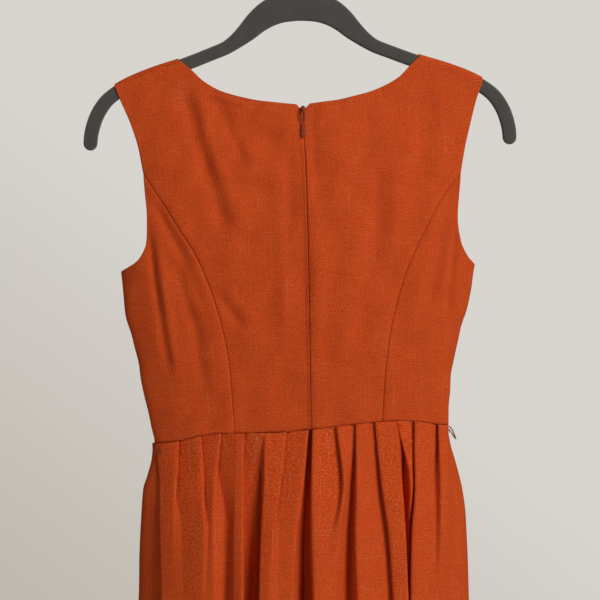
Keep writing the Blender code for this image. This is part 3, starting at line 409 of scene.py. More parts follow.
def line_at(points, shares):
    """Points at these shares of the length of a smooth curve through the points."""
    points = np.asarray(points, float)
    run = np.concatenate([[0], np.cumsum(np.linalg.norm(np.diff(points, axis=0), axis=1))])
    fine = np.linspace(0, run[-1], LINE_FINE)
    dense = np.stack([steady(run, column, fine) for column in points.T], axis=1)
    length = np.concatenate([[0], np.cumsum(np.linalg.norm(np.diff(dense, axis=0), axis=1))])
    at = np.asarray(shares) * length[-1]
    return np.stack([np.interp(at, length, column) for column in dense.T], axis=1)


def smooth_line(points, count):
    """The ends of count even lengths of a smooth curve through the points."""
    return line_at(points, np.linspace(0, 1, count + 1))


def in_metres(points):
    """Table points (across, down) as (x, z) in metres."""
    return np.asarray(points, float) * (MM, -MM)


def smoothstep(t):
    """0 up to 0 and 1 from 1 on, eased between."""
    t = np.clip(t, 0, 1)
    return t * t * (3 - 2 * t)


def waist_z(x):
    """How high the waist seam lies at x."""
    across, down = np.array(WAIST).T
    return -steady(across, down, np.asarray(x) / MM) * MM


def tube(z):
    """(middle, half width, front depth, back depth) of the dress at height z."""
    down, left, right, front, back = np.array(TUBE).T
    at = -np.asarray(z) / MM
    left, right, front, back = (steady(down, side, at) * MM for side in (left, right, front, back))
    return (left - right) / 2, (left + right) / 2 - CLOTH / 2, front, back


def hanger_course():
    """The hanger's spine from tip to tip, tilted as it hangs: x, z, half its height, and the unit way along it."""
    half = np.array(HANGER_SPINE) * MM
    whole = np.concatenate([half[:0:-1] * (-1, 1, 1), half])
    spine = smooth_line(whole, HANGER_STATIONS)
    x = spine[:, 0]
    z = -spine[:, 1] - x * math.sin(HANGER_TILT)
    dx, dz = np.gradient(x), np.gradient(z)
    length = np.hypot(dx, dz)
    return x, z, spine[:, 2], dx / length, dz / length


def hanger_top():
    """The hanger's top edge over its arms, as x and z."""
    x, z, half, dx, dz = hanger_course()
    return x - half * dz, z + half * dx


def shoulder_z(x):
    """The top of the cloth's middle over the hanger, carried on straight between the arms."""
    top_x, top_z = HANGER_TOP
    x = np.asarray(x, float)
    arm = ARM_INNER_END
    inner = np.clip(np.abs(x), arm, None) * np.where(x < 0, -1, 1)
    slope = (np.interp(arm + ARM_SAMPLE, top_x, top_z) - np.interp(arm, top_x, top_z)) / ARM_SAMPLE
    return np.interp(inner, top_x, top_z) - slope * np.clip(arm - np.abs(x), 0, None) + WRAP_RISE


HANGER_TOP = hanger_top()


def angle_of(points):
    """(angle round the tube, z) of (x, z) points."""
    x, z = np.asarray(points, float).T
    middle, half_width, _, _ = tube(z)
    return np.stack([np.arcsin(np.clip((x - middle) / half_width, -1, 1)), z], axis=-1)


def on_bodice(angle, z, side):
    """Points of the bodice's middle surface. side is 1 for the back and -1 for the front."""
    middle, half_width, front, back = tube(z)
    x = middle + half_width * np.sin(angle)
    full = (back if side > 0 else front) * np.cos(angle)
    below = shoulder_z(x) - z
    drop = smoothstep((below - WRAP_DROP) / BUST_DROP)
    y = WRAP_RADIUS * (1 - drop) + full * drop
    wrap = np.sqrt(np.clip(1 - (1 - np.clip(below / WRAP_DROP, 0, 1)) ** 2, 0, 1))
    return np.stack([x, side * np.maximum(y * wrap, SEAM_GAP / 2), z], axis=-1)


def patch(inner, outer, bottom, top, shares):
    """A grid between four edges of (angle, z) points: rows go up, columns lie at shares of the way out."""
    v = np.linspace(0, 1, len(inner))[:, None, None]
    u = np.asarray(shares)[None, :, None]
    sides = (1 - u) * inner[:, None] + u * outer[:, None]
    ends = (1 - v) * bottom[None] + v * top[None]
    corners = (1 - v) * ((1 - u) * bottom[0] + u * bottom[-1]) + v * ((1 - u) * top[0] + u * top[-1])
    return sides + ends - corners


def waist_edge(inner_x, outer_x, shares):
    """The bodice's bottom edge between two places across, as (x, z) at these shares of the way."""
    x = inner_x + (outer_x - inner_x) * np.asarray(shares)
    return np.stack([x, waist_z(x) + WAIST_GAP / 2], axis=-1)


def outwards(grid, flip):
    """Unit normals of a grid of points, on the side its faces look to."""
    along = np.gradient(grid, axis=1)
    up = np.gradient(grid, axis=0)
    normal = np.cross(along, up)
    normal /= np.maximum(np.linalg.norm(normal, axis=-1, keepdims=True), 1e-12)
    return -normal if flip else normal


def creases(grid, table):
    """How far the soft troughs and ridges of the table push each point of the grid out."""
    x = grid[..., 0] / MM
    down = -grid[..., 2] / MM
    out = np.zeros(x.shape)
    for x0, down0, x1, down1, width, height in table:
        dx, dy = x1 - x0, down1 - down0
        length = math.hypot(dx, dy)
        t = ((x - x0) * dx + (down - down0) * dy) / length**2
        off = ((x - x0) * dy - (down - down0) * dx) / length
        fade = smoothstep((t + CREASE_FADE) / (2 * CREASE_FADE)) * smoothstep((1 + CREASE_FADE - t) / (2 * CREASE_FADE))
        out += height * MM * np.exp(-((off / width) ** 2)) * fade
    return out


def turns_every(pitch):
    """What a place is multiplied by for an angle that comes round once every pitch."""
    return 2 * math.pi / pitch


def unevenness(grid):
    """How far the cloth's slight waves push each point out."""
    x, _, z = np.moveaxis(grid, -1, 0) / MM
    waves = sum(
        size * np.sin((x * math.cos(turn) + z * math.sin(turn)) * turns_every(length) + turn * WAVE_SHIFT)
        for turn, length, size in WAVES
    )
    return waves * MM


def seam_profile(distance):
    """The height of a pressed seam at this distance from it: a narrow valley between two low ridges."""
    near = np.exp(-((distance / SEAM_VALLEY_WIDTH) ** 2))
    ridge = np.exp(-(((distance - SEAM_ALLOWANCE / 2) / SEAM_RIDGE_WIDTH) ** 2))
    return -SEAM_VALLEY * near + SEAM_RIDGE * ridge


def across_run(grid):
    """The run along each row from its start."""
    step = np.linalg.norm(np.diff(grid, axis=1), axis=-1)
    return np.concatenate([np.zeros((len(grid), 1)), np.cumsum(step, axis=1)], axis=1)


def smooth_mesh(bm, name):
    """The smooth mesh of bm, which is freed."""
    mesh = bpy.data.meshes.new(name)
    bm.to_mesh(mesh)
    bm.free()
    mesh.shade_smooth()
    return mesh


def piece(name, data, look, nodes, body="dress"):
    """An object of this mesh or curve that rides the body, in place of the nodes."""
    data.materials.append(look)
    made = bpy.data.objects.new(name, data)
    bpy.context.scene.collection.objects.link(made)
    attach(made, body)
    if nodes:
        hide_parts(*nodes)
    return made


def rounded(name, parts, look, node, body="dress"):
    """A smooth piece. Each part is rings of points, and whether they are joined round or capped at both ends."""
    bm = bmesh.new()
    for points, closed in parts:
        rings = [[bm.verts.new(point) for point in ring] for ring in points]
        for one, two in zip(rings, rings[1:] + rings[:1] * closed):
            for k in range(len(one)):
                following = (k + 1) % len(one)
                bm.faces.new((one[k], one[following], two[following], two[k]))
        if not closed:
            bm.faces.new(rings[0][::-1])
            bm.faces.new(rings[-1])
    bmesh.ops.recalc_face_normals(bm, faces=bm.faces)
    piece(name, smooth_mesh(bm, name), look, [node], body)


def cloth_object(name, grids, look, wall, nodes):
    """A closed shell of cloth on grids that meet edge to edge, each (points, flip, cloth coordinates)."""
    bm = bmesh.new()
    layer = bm.loops.layers.uv.new("cloth")
    for grid, flip, coordinates in grids:
        rows, columns = grid.shape[:2]
        made = bmesh.ops.create_grid(bm, x_segments=columns - 1, y_segments=rows - 1, size=1)
        place = {}
        for vertex in made["verts"]:
            column = round((vertex.co.x + 1) / 2 * (columns - 1))
            row = round((vertex.co.y + 1) / 2 * (rows - 1))
            place[vertex] = (row, column)
            vertex.co = grid[row, column]
        faces = list({face for vertex in made["verts"] for face in vertex.link_faces})
        if flip:
            bmesh.ops.reverse_faces(bm, faces=faces)
        for face in faces:
            for loop in face.loops:
                loop[layer].uv = coordinates[place[loop.vert]]
    bmesh.ops.remove_doubles(bm, verts=bm.verts, dist=SAME_POINT)
    made = piece(name, smooth_mesh(bm, name), look, nodes)
    shell = made.modifiers.new("wall", "SOLIDIFY")
    shell.thickness = wall
    shell.offset = 0
    shell.use_quality_normals = True


def centre_panel(hand, side, centre, neck, princess):
    """Half of a centre panel: its fine grid, before its creases."""
    shares = np.linspace(0, 1, CENTRE_FINE + 1)
    low = smooth_line(in_metres(princess)[::-1], ROWS_LOW)
    high = smooth_line(in_metres(ARMHOLE[hand])[::-1], ROWS_HIGH)
    centre_low = smooth_line(in_metres(centre)[::-1], ROWS_LOW)
    neck_high = smooth_line(in_metres(neck)[::-1], ROWS_HIGH)
    inner = np.concatenate([centre_low, neck_high[1:]])
    outer = np.concatenate([low, high[1:]])
    bottom = waist_edge(inner[0, 0], outer[0, 0], shares)
    inner[0] = bottom[0]
    outer[0] = bottom[-1]
    top_x = inner[-1, 0] + (outer[-1, 0] - inner[-1, 0]) * shares
    top = np.stack([top_x, shoulder_z(top_x) - WRAP_DROP], axis=-1)
    inner[-1] = top[0]
    outer[-1] = top[-1]
    flat = patch(*(angle_of(edge) for edge in (inner, outer, bottom, top)), shares)
    grid = on_bodice(flat[..., 0], flat[..., 1], side)
    wraps = []
    for angle in np.radians(WRAP_FINE):
        y = np.full(len(top_x), side * WRAP_RADIUS * math.sin(angle))
        wraps.append(np.stack([top_x, y, top[:, 1] + WRAP_DROP * math.cos(angle)], axis=-1))
    y = np.full(len(top_x), side * SHOULDER_EDGE)
    wraps.append(np.stack([top_x, y, top[:, 1] + WRAP_DROP], axis=-1))
    return np.concatenate([grid, np.array(wraps)])


def side_panel(hand, side, princess):
    """A side panel's fine grid, before its creases."""
    shares = np.linspace(0, 1, SIDE_FINE + 1)
    inner = smooth_line(in_metres(princess)[::-1], ROWS_LOW)
    underarm = line_at(in_metres(UNDERARM[hand]), shares)
    middle, half_width, _, _ = tube(waist_z(hand * WAIST_HALF_WIDTH))
    bottom = waist_edge(inner[0, 0], middle + hand * half_width, shares)
    inner[0] = bottom[0]
    quarter = hand * math.pi / 2
    side_z = np.linspace(bottom[-1, 1], underarm[-1, 1], ROWS_LOW + 1)
    outer = np.stack([quarter + 0 * side_z, side_z], axis=-1)
    top = angle_of(underarm)
    top[-1] = outer[-1]
    start = angle_of(inner[:1])[0]
    low_angle = start[0] + (quarter - start[0]) * shares
    middle, half_width, _, _ = tube(bottom[:, 1])
    low = np.stack([low_angle, waist_z(middle + half_width * np.sin(low_angle)) + WAIST_GAP / 2], axis=-1)
    low[-1] = outer[0]
    flat = patch(angle_of(inner), outer, low, top, shares)
    return on_bodice(flat[..., 0], flat[..., 1], side)


def edge_moved(grid, column, rows, gap):
    """The grid with one edge column of its first rows moved in by gap."""
    inside = 1 if column == 0 else -2
    step = grid[:rows, inside] - grid[:rows, column]
    grid[:rows, column] += step / np.linalg.norm(step, axis=-1, keepdims=True) * gap
    return grid


def finished(grid, flip, table, out):
    """The grid with its creases and this further height put on, and its cloth coordinates."""
    along = across_run(grid)
    middle = grid.shape[1] // 2
    u = along - along[:, middle : middle + 1]
    u = u * np.sign(grid[0, -1, 0] - grid[0, 0, 0]) + grid[:, middle : middle + 1, 0]
    coordinates = np.stack([u, grid[..., 2]], axis=-1)
    depth = np.clip((-grid[..., 2] - SHOULDER_STILL) / SHOULDER_EASE, 0, 1)
    raised = (creases(grid, table) + unevenness(grid)) * depth + out
    return grid + outwards(grid, flip) * raised[..., None], flip, coordinates


def pressed_seam(grid, rows_low, column):
    """How far a pressed seam along the first or last column pushes each point out, up to the row where it ends."""
    run = across_run(grid)
    weight = smoothstep((rows_low - np.arange(len(grid))) / SEAM_END_ROWS)[:, None]
    return seam_profile(run if column == 0 else run[:, -1:] - run) * weight


def make_bodice(look):
    """Seven cut panels, each a thin shell with the seams, the lapped zip edge and its soft creases."""
    wall = bpy.context.scene.dress.cloth_wall
    gap = SEAM_GAP / 2
    lap = {1: LAP_OUT, -1: LAP_IN}
    for hand, name in ((1, "left"), (-1, "right")):
        grid = centre_panel(hand, 1, CENTRE_BACK[hand], NECK_BACK[hand], PRINCESS_BACK[hand])
        grid = edge_moved(edge_moved(grid, -1, ROWS_LOW + 1, gap), 0, ROWS_LOW, gap)
        run = across_run(grid)
        below = smoothstep((-grid[:, :1, 2] - LAP_START) / LAP_EASE)
        out = pressed_seam(grid, ROWS_LOW, -1)
        out += lap[hand] * np.exp(-((run / LAP_WIDTH) ** 2)) * below
        if hand > 0:
            grid[:, 0, 0] -= LAP_OVER * below[:, 0]
        node = f"back_centre_{name}"
        cloth_object(node + "_cloth", [finished(grid, hand > 0, BACK_CREASES, out)], look, wall, [node])
        for side, place, princess, table in (
            (1, "back", PRINCESS_BACK, BACK_CREASES),
            (-1, "front", PRINCESS_FRONT, FRONT_CREASES),
        ):
            grid = edge_moved(side_panel(hand, side, princess[hand]), 0, None, gap)
            out = pressed_seam(grid, len(grid) + SEAM_END_ROWS, 0)
            out *= smoothstep((across_run(grid)[:, -1:] - across_run(grid)) / SIDE_STILL)
            grid, flip, coordinates = finished(grid, (hand > 0) == (side > 0), table, out)
            grid[:, -1, 1] = side * SIDE_EDGE
            node = f"{place}_side_{name}"
            cloth_object(node + "_cloth", [(grid, flip, coordinates)], look, wall, [node])
    halves = []
    for hand in (1, -1):
        grid = centre_panel(hand, -1, CENTRE_FRONT, NECK_FRONT[hand], PRINCESS_FRONT[hand])
        grid = edge_moved(grid, -1, ROWS_LOW + 1, gap)
        out = pressed_seam(grid, ROWS_LOW, -1)
        halves.append(finished(grid, hand < 0, FRONT_CREASES, out))
    fold = (halves[0][0][: ROWS_LOW + 1, 0] + halves[1][0][: ROWS_LOW + 1, 0]) / 2
    for grid, _, _ in halves:
        grid[: ROWS_LOW + 1, 0] = fold
    cloth_object("front_centre_cloth", halves, look, wall, ["front_centre"])


def fold_table():
    """Every fold round the skirt: the left side seam, the back, the right side seam, and the front."""
    lying = PLEAT_LAYER / MM
    rows = []
    for part in (1, -1):
        seam = SIDE_SEAMS[part]
        rows.append((1, -1, seam[:4], (0, *seam[4:]), SEAM_FOLD_RADIUS))
        for turn, *across, out_1, out_2, out_3, radius in BACK_FOLDS:
            at_waist = lying if turn > 0 else -2 * lying
            placed = tuple(part * a for a in across)
            rows.append((part, turn, placed, (at_waist, out_1, out_2, out_3), radius))
    return rows


def round_at(z):
    """The tube's round at height z: turns from the centre back, x and y there, and the run to them."""
    middle, half_width, front, back = tube(z)
    turns = np.linspace(-math.pi, math.pi, ARC_STEPS + 1)
    x = middle - half_width * np.sin(turns)
    y = np.where(np.abs(turns) <= math.pi / 2, back, front) * np.cos(turns)
    run = np.concatenate([[0], np.cumsum(np.hypot(np.diff(x), np.diff(y)))])
    return turns, x, y, run - run[ARC_STEPS // 2]


def round_tables():
    """The tube's rounds at TUBE_LEVELS heights: the heights, and x and y at even shares of the way round."""
    levels = np.linspace(TUBE_TOP, -HEM_DOWN - TUBE_PAST_HEM, TUBE_LEVELS)
    shares = np.linspace(-0.5, 0.5, TUBE_SHARES)
    xs, ys = [], []
    for z in levels:
        _, x, y, run = round_at(z)
        at = shares * (run[-1] - run[0]) + (run[-1] + run[0]) / 2
        xs.append(np.interp(at, run, x))
        ys.append(np.interp(at, run, y))
    return levels, np.array(xs), np.array(ys)


def on_tube(rounds, share, z):
    """x and y on the tube at these shares of the way round and these heights."""
    levels, xs, ys = rounds
    a = np.clip((z - levels[0]) / (levels[-1] - levels[0]) * (TUBE_LEVELS - 1), 0, TUBE_LEVELS - 1.001)
    b = ((share + 0.5) % 1) * (TUBE_SHARES - 1)
    i, j = a.astype(int), np.clip(b.astype(int), 0, TUBE_SHARES - 2)
    p, q = a - i, b - j
    found = []
    for table in (xs, ys):
        one = table[i, j] * (1 - q) + table[i, j + 1] * q
        two = table[i + 1, j] * (1 - q) + table[i + 1, j + 1] * q
        found.append(one * (1 - p) + two * p)
    return found


def row_height(x, share):
    """How high the skirt's row at this share of its length lies at x."""
    top = waist_z(x) - WAIST_GAP / 2
    return top + (-HEM_DOWN - top) * share


def fold_at(row, share, number):
    """(run round, height out, radius, turn, whole way round) of a fold on one row."""
    part, turn, across, out, radius = row
    z = float(row_height(across[0] * MM, share))
    levels = np.array([-float(row_height(across[0] * MM, 0)) / MM, *FOLD_LEVELS])
    x = float(steady(levels, [*across, across[-1] * HEM_SPREAD], -z / MM)) * MM
    height = float(steady(levels, [*out, out[-1] * HEM_HEIGHT], -z / MM)) * MM
    small = PLEAT_LAYER / 2 / MM
    sizes = [small, (small + radius) / 2, radius, radius, radius * HEM_RADIUS]
    size = float(steady(levels, sizes, -z / MM)) * MM
    loose = float(smoothstep((share - WANDER_START) / WANDER_EASE))
    x += loose * WANDER_ACROSS * math.sin(share * ACROSS_WAVE[0] + number * ACROSS_WAVE[1])
    height += loose * WANDER_OUT * math.sin(share * OUT_WAVE[0] + number * OUT_WAVE[1] + OUT_WAVE[2])
    middle, half_width, _, _ = tube(z)
    turned = -math.asin(max(-1, min(1, (x - middle) / half_width)))
    if part < 0:
        turned = math.pi - turned
    past = turned > math.pi
    turned -= 2 * math.pi * past
    turns, _, _, run = round_at(z)
    whole = run[-1] - run[0]
    return float(np.interp(turned, turns, run)) + whole * past, height, size, turn, whole


def belt(folds, spans):
    """A line pulled round the folds like a belt, over each that turns out and under each that turns in."""
    s, top, size, turn = (np.array([fold[k] for fold in folds]) for k in range(4))
    count = len(folds)
    for _ in range(BELT_ROUNDS):
        h = top - turn * size
        gap = np.hypot(np.diff(s), np.diff(h))
        tight = np.abs(np.diff(turn * size)) > BELT_TIGHT * gap
        if not tight.any():
            break
        size = np.where(np.append(tight, False) | np.insert(tight, 0, False), BELT_EASE * size, size)
    signed = turn * size
    lean = np.arctan2(np.diff(h), np.diff(s)) - np.arcsin((signed[:-1] - signed[1:]) / gap)
    start = np.insert(lean, 0, lean[-1])
    end = np.append(lean, lean[0])
    points = []
    for i in range(count):
        swing = (turn[i] * (start[i] - end[i]) + math.pi / 3) % (2 * math.pi) - math.pi / 3
        shortest = max(0, LEAST_FOLD_RUN - size[i] * swing)
        share = np.linspace(0, 1, FOLD_FINE)
        a = start[i] - turn[i] * swing * share
        along = shortest * (share - 0.5)
        x = s[i] - signed[i] * np.sin(a) + along * np.cos(a)
        y = h[i] + signed[i] * np.cos(a) + along * np.sin(a)
        points.append(np.stack([x, y], axis=-1))
        if i + 1 < count:
            reach = signed[i + 1]
            following = np.array((s[i + 1] - reach * math.sin(end[i]), h[i + 1] + reach * math.cos(end[i])))
            t = (np.arange(1, spans[i] + 1) / (spans[i] + 1))[:, None]
            points.append(points[-1][-1] * (1 - t) + following * t)
    return np.concatenate(points)


def softened(line, share):
    """The row's line with its corners eased, more so lower down. Its last fold is its first, one round on."""
    once_round = line[-FOLD_FINE] - line[0]
    line = line[:-FOLD_FINE]
    for _ in range(round(SOFT_ROUNDS[0] + (SOFT_ROUNDS[1] - SOFT_ROUNDS[0]) * share)):
        before = np.concatenate([line[-1:] - once_round, line[:-1]])
        after = np.concatenate([line[1:], line[:1] + once_round])
        line = line * 0.5 + (before + after) * 0.25
    return np.concatenate([line, line[:FOLD_FINE] + once_round])


def skirt_row(rows, share, spans, rounds):
    """The points of the skirt's row at this share of its length, once round and on over the first fold."""
    folds = [fold_at(row, share, number) for number, row in enumerate(rows)]
    arc, *rest, whole = folds[0]
    folds.append((arc + whole, *rest, whole))
    line = softened(belt(folds, spans), share)
    arcs = np.array([fold[0] for fold in folds])
    wholes = np.array([fold[-1] for fold in folds])
    run, out = line.T
    q = run / np.interp(run, arcs, wholes)
    mean_waist = -np.mean([down for _, down in WAIST]) * MM
    mean_z = mean_waist + (-HEM_DOWN - mean_waist) * share
    guess_x, _ = on_tube(rounds, q, np.full(len(q), mean_z))
    z = row_height(guess_x, share)
    x, y = on_tube(rounds, q, z)
    ahead, behind = (np.stack(on_tube(rounds, q + step, z), axis=-1) for step in (ROUND_PROBE, -ROUND_PROBE))
    along = ahead - behind
    along /= np.linalg.norm(along, axis=-1, keepdims=True)
    return np.stack([x + along[:, 1] * out, y - along[:, 0] * out, z], axis=-1)


def skirt_shares():
    """Shares of the skirt's length of its rows, closer together at the waist."""
    t = np.linspace(0, 1, SKIRT_FINE_ROWS)
    return t * (SKIRT_ROW_START + (1 - SKIRT_ROW_START) * t)


def make_skirt(look):
    """Three pleated panels, each one thin shell."""
    wall = bpy.context.scene.dress.cloth_wall
    rows = fold_table()
    half = len(rows) // 2
    rounds = round_tables()
    spans = [SPAN_FINE if one[0] == two[0] else SIDE_SPAN_FINE for one, two in zip(rows, rows[1:] + rows[:1])]
    grid = np.array([skirt_row(rows, share, spans, rounds) for share in skirt_shares()])[::-1]
    starts = np.concatenate([[0], np.cumsum([FOLD_FINE + span for span in spans])])
    middle = FOLD_FINE // 2
    seams = [starts[0] + middle, starts[1 + CENTRE_SEAM_FOLD] + middle, starts[half] + middle]
    parts = (
        ("skirt_back_left", seams[0], seams[1], "back_centre_left_cloth"),
        ("skirt_back_right", seams[1], seams[2], "back_centre_right_cloth"),
        ("skirt_front", seams[2], starts[-1] + middle, "front_centre_cloth"),
    )
    for name, first, end, above in parts:
        last = end - first
        kept = [c for c in range(last + 1) if c in (0, last) or SEAM_SKIP < c < last - SEAM_SKIP]
        part = grid[:, first : end + 1][:, kept]
        part = edge_moved(edge_moved(part, -1, None, SKIRT_EDGE_FINE), 0, None, SKIRT_EDGE_FINE)
        u = np.repeat(across_run(part)[round(len(part) * SKIRT_WEAVE_ROW)][None], len(part), axis=0)
        coordinates = np.stack([u + SKIRT_WEAVE_SHIFT, part[..., 2]], axis=-1)
        cloth_object(name + "_cloth", [(part, True, coordinates)], look, wall, [name])


def make_hanger(look):
    """The slim flocked hanger: a rounded section swept along the spine, drawn in at both tips."""
    x, z, half, dx, dz = hanger_course()
    flat = np.zeros(len(x))
    centre, tangent, across = (np.stack(axes, axis=-1) for axes in ((x, flat, z), (dx, flat, dz), (-dz, flat, dx)))
    thick = HANGER_HALF_THICKNESS
    stations = [(centre[i], across[i], half[i], thick) for i in range(len(x))]
    for angle in np.radians(HANGER_FINE_ENDS):
        for i, turn in ((-1, 1), (0, -1)):
            point = centre[i] + turn * tangent[i] * half[i] * math.sin(angle)
            station = (point, across[i], half[i] * math.cos(angle), thick * math.cos(angle) ** 0.5)
            stations.insert(len(stations) if turn > 0 else 0, station)
    turns = 2 * math.pi * (np.arange(HANGER_FINE_SIDES) + 0.5) / HANGER_FINE_SIDES
    rings = []
    for point, up, tall, thick in stations:
        lift = np.copysign(max(tall - thick, 0), np.sin(turns)) + min(thick, tall) * np.sin(turns)
        rings.append(point + up * lift[:, None] + np.outer(thick * np.cos(turns), (0, 1, 0)))
    rounded("hanger_flocked", [(rings, False)], look, "hanger_body")


def tube_curve(name, points, radius, look, sides, nodes):
    """A round wire or thread through the points, with closed ends."""
    curve = bpy.data.curves.new(name, "CURVE")
    curve.dimensions = "3D"
    curve.bevel_depth = radius
    curve.bevel_resolution = sides
    curve.use_fill_caps = True
    spline = curve.splines.new("POLY")
    spline.points.add(len(points) - 1)
    for point, place in zip(spline.points, points):
        point.co = (*place, 1)
    piece(name, curve, look, nodes)


def make_hook(look):
    """The hook's bent wire."""
    radius = HOOK_INNER_RADIUS + HOOK_WIRE_RADIUS
    centre = HOOK_WIRE_RADIUS - radius
    points = []
    for k in range(HOOK_FINE + 1):
        a = HOOK_OPENING - (HOOK_OPENING + HOOK_RETURN) * k / HOOK_FINE
        points.append((-radius * math.sin(a), 0, centre + radius * math.cos(a)))
    last = points[-1]
    neck = [last, *((last[0] * share, 0, last[2] - drop) for share, drop in HOOK_NECK)]
    neck.append((0, 0, CROWN_TOP + CLEARANCE))
    points += [tuple(p) for p in line_at(neck, np.linspace(0, 1, HOOK_NECK_FINE))[1:]]
    tube_curve("hook_wire", points, HOOK_WIRE_RADIUS, look, HOOK_SIDES, ["hanger_hook"])


def back_y(x, z):
    """How far out the back of the bodice lies at x and z."""
    angle, height = angle_of([(x, z)])[0]
    return float(on_bodice(angle, height, 1)[1])


def make_zip(tape_look, metal):
    """The tape behind the seam and the closed teeth on it."""
    wide, thick = ZIP_TAPE
    seam = np.array(CENTRE_BACK[-1][1:])
    inside = CLOTH / 2 + CLEARANCE + thick / 2 + ZIP_TAPE_SLACK
    grid = []
    for down in np.linspace(*ZIP_TAPE_DOWN, ZIP_TAPE_ROWS):
        across = steady(seam[:, 1], seam[:, 0], down) * MM + wide * np.linspace(-0.5, 0.5, ZIP_TAPE_COLUMNS)
        grid.append([(x, back_y(x, -down * MM) - inside, -down * MM) for x in across])
    grid = np.array(grid)
    parts = [(grid, False, np.stack([grid[..., 0], grid[..., 2]], axis=-1))]
    cloth_object("zip_tape_woven", parts, tape_look, ZIP_TAPE_WALL, ["zip_chain"])
    bm = bmesh.new()
    for k in range(round((ZIP_TAPE_DOWN[1] - SLIDER_DOWN) / TOOTH_PITCH)):
        down = SLIDER_DOWN + k * TOOTH_PITCH
        x = float(steady(seam[:, 1], seam[:, 0], down)) * MM
        y = back_y(x, -down * MM) - TOOTH_INSIDE - TOOTH_SIZE[1] / 2
        centre = (x + (TOOTH_SHIFT if k % 2 else -TOOTH_SHIFT), y, -down * MM)
        for vertex in bmesh.ops.create_cube(bm, size=1)["verts"]:
            vertex.co = np.array(vertex.co) * TOOTH_SIZE + centre
    bmesh.ops.bevel(bm, geom=bm.edges, affect="EDGES", material=-1, **TOOTH_BEVEL)
    piece("zip_teeth", smooth_mesh(bm, "zip_teeth"), metal, ())


def cast(name, parts, look, body, node):
    """Rounded metal: each part is stations of (centre, half width, half thickness) in mm, and whether they close."""
    turns = np.linspace(0, 2 * math.pi, CAST_SIDES, endpoint=False)
    made = []
    for stations, closed in parts:
        rings = []
        for centre, wide, thick in stations:
            rings.append((centre + np.outer(np.cos(turns), wide) + np.outer(np.sin(turns), thick)) * MM)
        made.append((rings, closed))
    rounded(name, made, look, node, body)


def make_slider(metal):
    """The slider with its bail, and the pull: a ring through the bail and a long drop below it."""
    x, y, z = SLIDER_CENTRE
    body = [((x, y, z + up), (wide, 0, 0), (0, thick, 0)) for up, wide, thick in SLIDER_SHAPE]
    axis_z = PULL_AXIS[2]
    face, rise, radius, wire = BAIL
    bail = [((x, face - wire, axis_z + radius), (wire, 0, 0), (0, 0, wire))]
    for a in np.linspace(0, math.pi, BAIL_FINE):
        out, up = math.sin(a), math.cos(a)
        bail.append(((x, face + rise + radius * out, axis_z + radius * up), (wire, 0, 0), (0, wire * out, wire * up)))
    bail.append(((x, face - wire, axis_z - radius), (wire, 0, 0), (0, 0, -wire)))
    cast("zip_slider_cast", [(body, False), (bail, False)], metal, "dress", "zip_slider")
    level, lean = math.cos(PULL_TILT), math.sin(PULL_TILT)

    def placed(across, out, up, base=(0, 0, 0)):
        return np.array((across, out * level - up * lean, out * lean + up * level)) + base

    wide, tall, narrow, ring_wide, ring_thick = PULL_LOOP
    turns = np.linspace(0, 2 * math.pi, PULL_LOOP_FINE, endpoint=False)
    path = np.stack([wide * np.sin(turns) * (1 - narrow * np.cos(turns)), tall * (np.cos(turns) - 1)], axis=-1)
    run = np.roll(path, -1, axis=0) - np.roll(path, 1, axis=0)
    run /= np.linalg.norm(run, axis=-1, keepdims=True)
    ring = [
        (placed(across, 0, up, PULL_AXIS), placed(-ahead_up, 0, ahead) * ring_wide, placed(0, 1, 0) * ring_thick)
        for (across, up), (ahead, ahead_up) in zip(path, run)
    ]
    drop = [
        (placed(0, 0, -down, PULL_AXIS), placed(half, 0, 0), placed(0, thick, 0))
        for down, half, thick in PULL_DROP_SHAPE
    ]
    cast("zip_pull_cast", [(ring, True), (drop, False)], metal, "pull", "zip_pull")


def off_tube(share, out, down):
    """The point this far out from the tube, at this share of a quarter turn from the centre back."""
    z = -down * MM
    middle, half_width, _, back = tube(z)
    turn = share * math.pi / 2
    across = (math.sin(turn) * back, math.cos(turn) * half_width)
    length = math.hypot(*across)
    x = middle + half_width * math.sin(turn) + out * MM * across[0] / length
    return x, back * math.cos(turn) + out * MM * across[1] / length, z


def make_loops(look):
    """Thread carriers: two threads twisted round each other."""
    for name, route in BELT_LOOPS.items():
        centre = np.array([off_tube(*point) for point in smooth_line(route, LOOP_FINE)])
        tangent = np.gradient(centre, axis=0)
        tangent /= np.linalg.norm(tangent, axis=-1, keepdims=True)
        side = np.cross(tangent, LOOP_ASIDE)
        side /= np.linalg.norm(side, axis=-1, keepdims=True)
        other = np.cross(tangent, side)
        twist = np.linspace(0, LOOP_TWISTS * 2 * math.pi, LOOP_FINE + 1)[:, None]
        for strand in (0, 1):
            a = twist + strand * math.pi
            points = centre + (side * np.cos(a) + other * np.sin(a)) * STRAND_OFFSET
            nodes = [name] if strand == 0 else ()
            tube_curve(f"{name}_thread_{strand}", points, STRAND_RADIUS, look, STRAND_SIDES, nodes)


def plug(tree, place, value):
    """Gives an input of a material or world its value: a Sum, another node's output, or a number or colour."""
    if isinstance(value, Sum):
        value = value.socket
    if isinstance(value, bpy.types.NodeSocket):
        tree.links.new(value, place)
    else:
        place.default_value = value


def shader_node(tree, kind, inputs=(), **settings):
    """A new node of this kind, with its settings and inputs."""
    made = tree.nodes.new(kind)
    for key, value in settings.items():
        setattr(made, key, value)
    for key, value in dict(inputs).items():
        plug(tree, made.inputs[key], value)
    return made


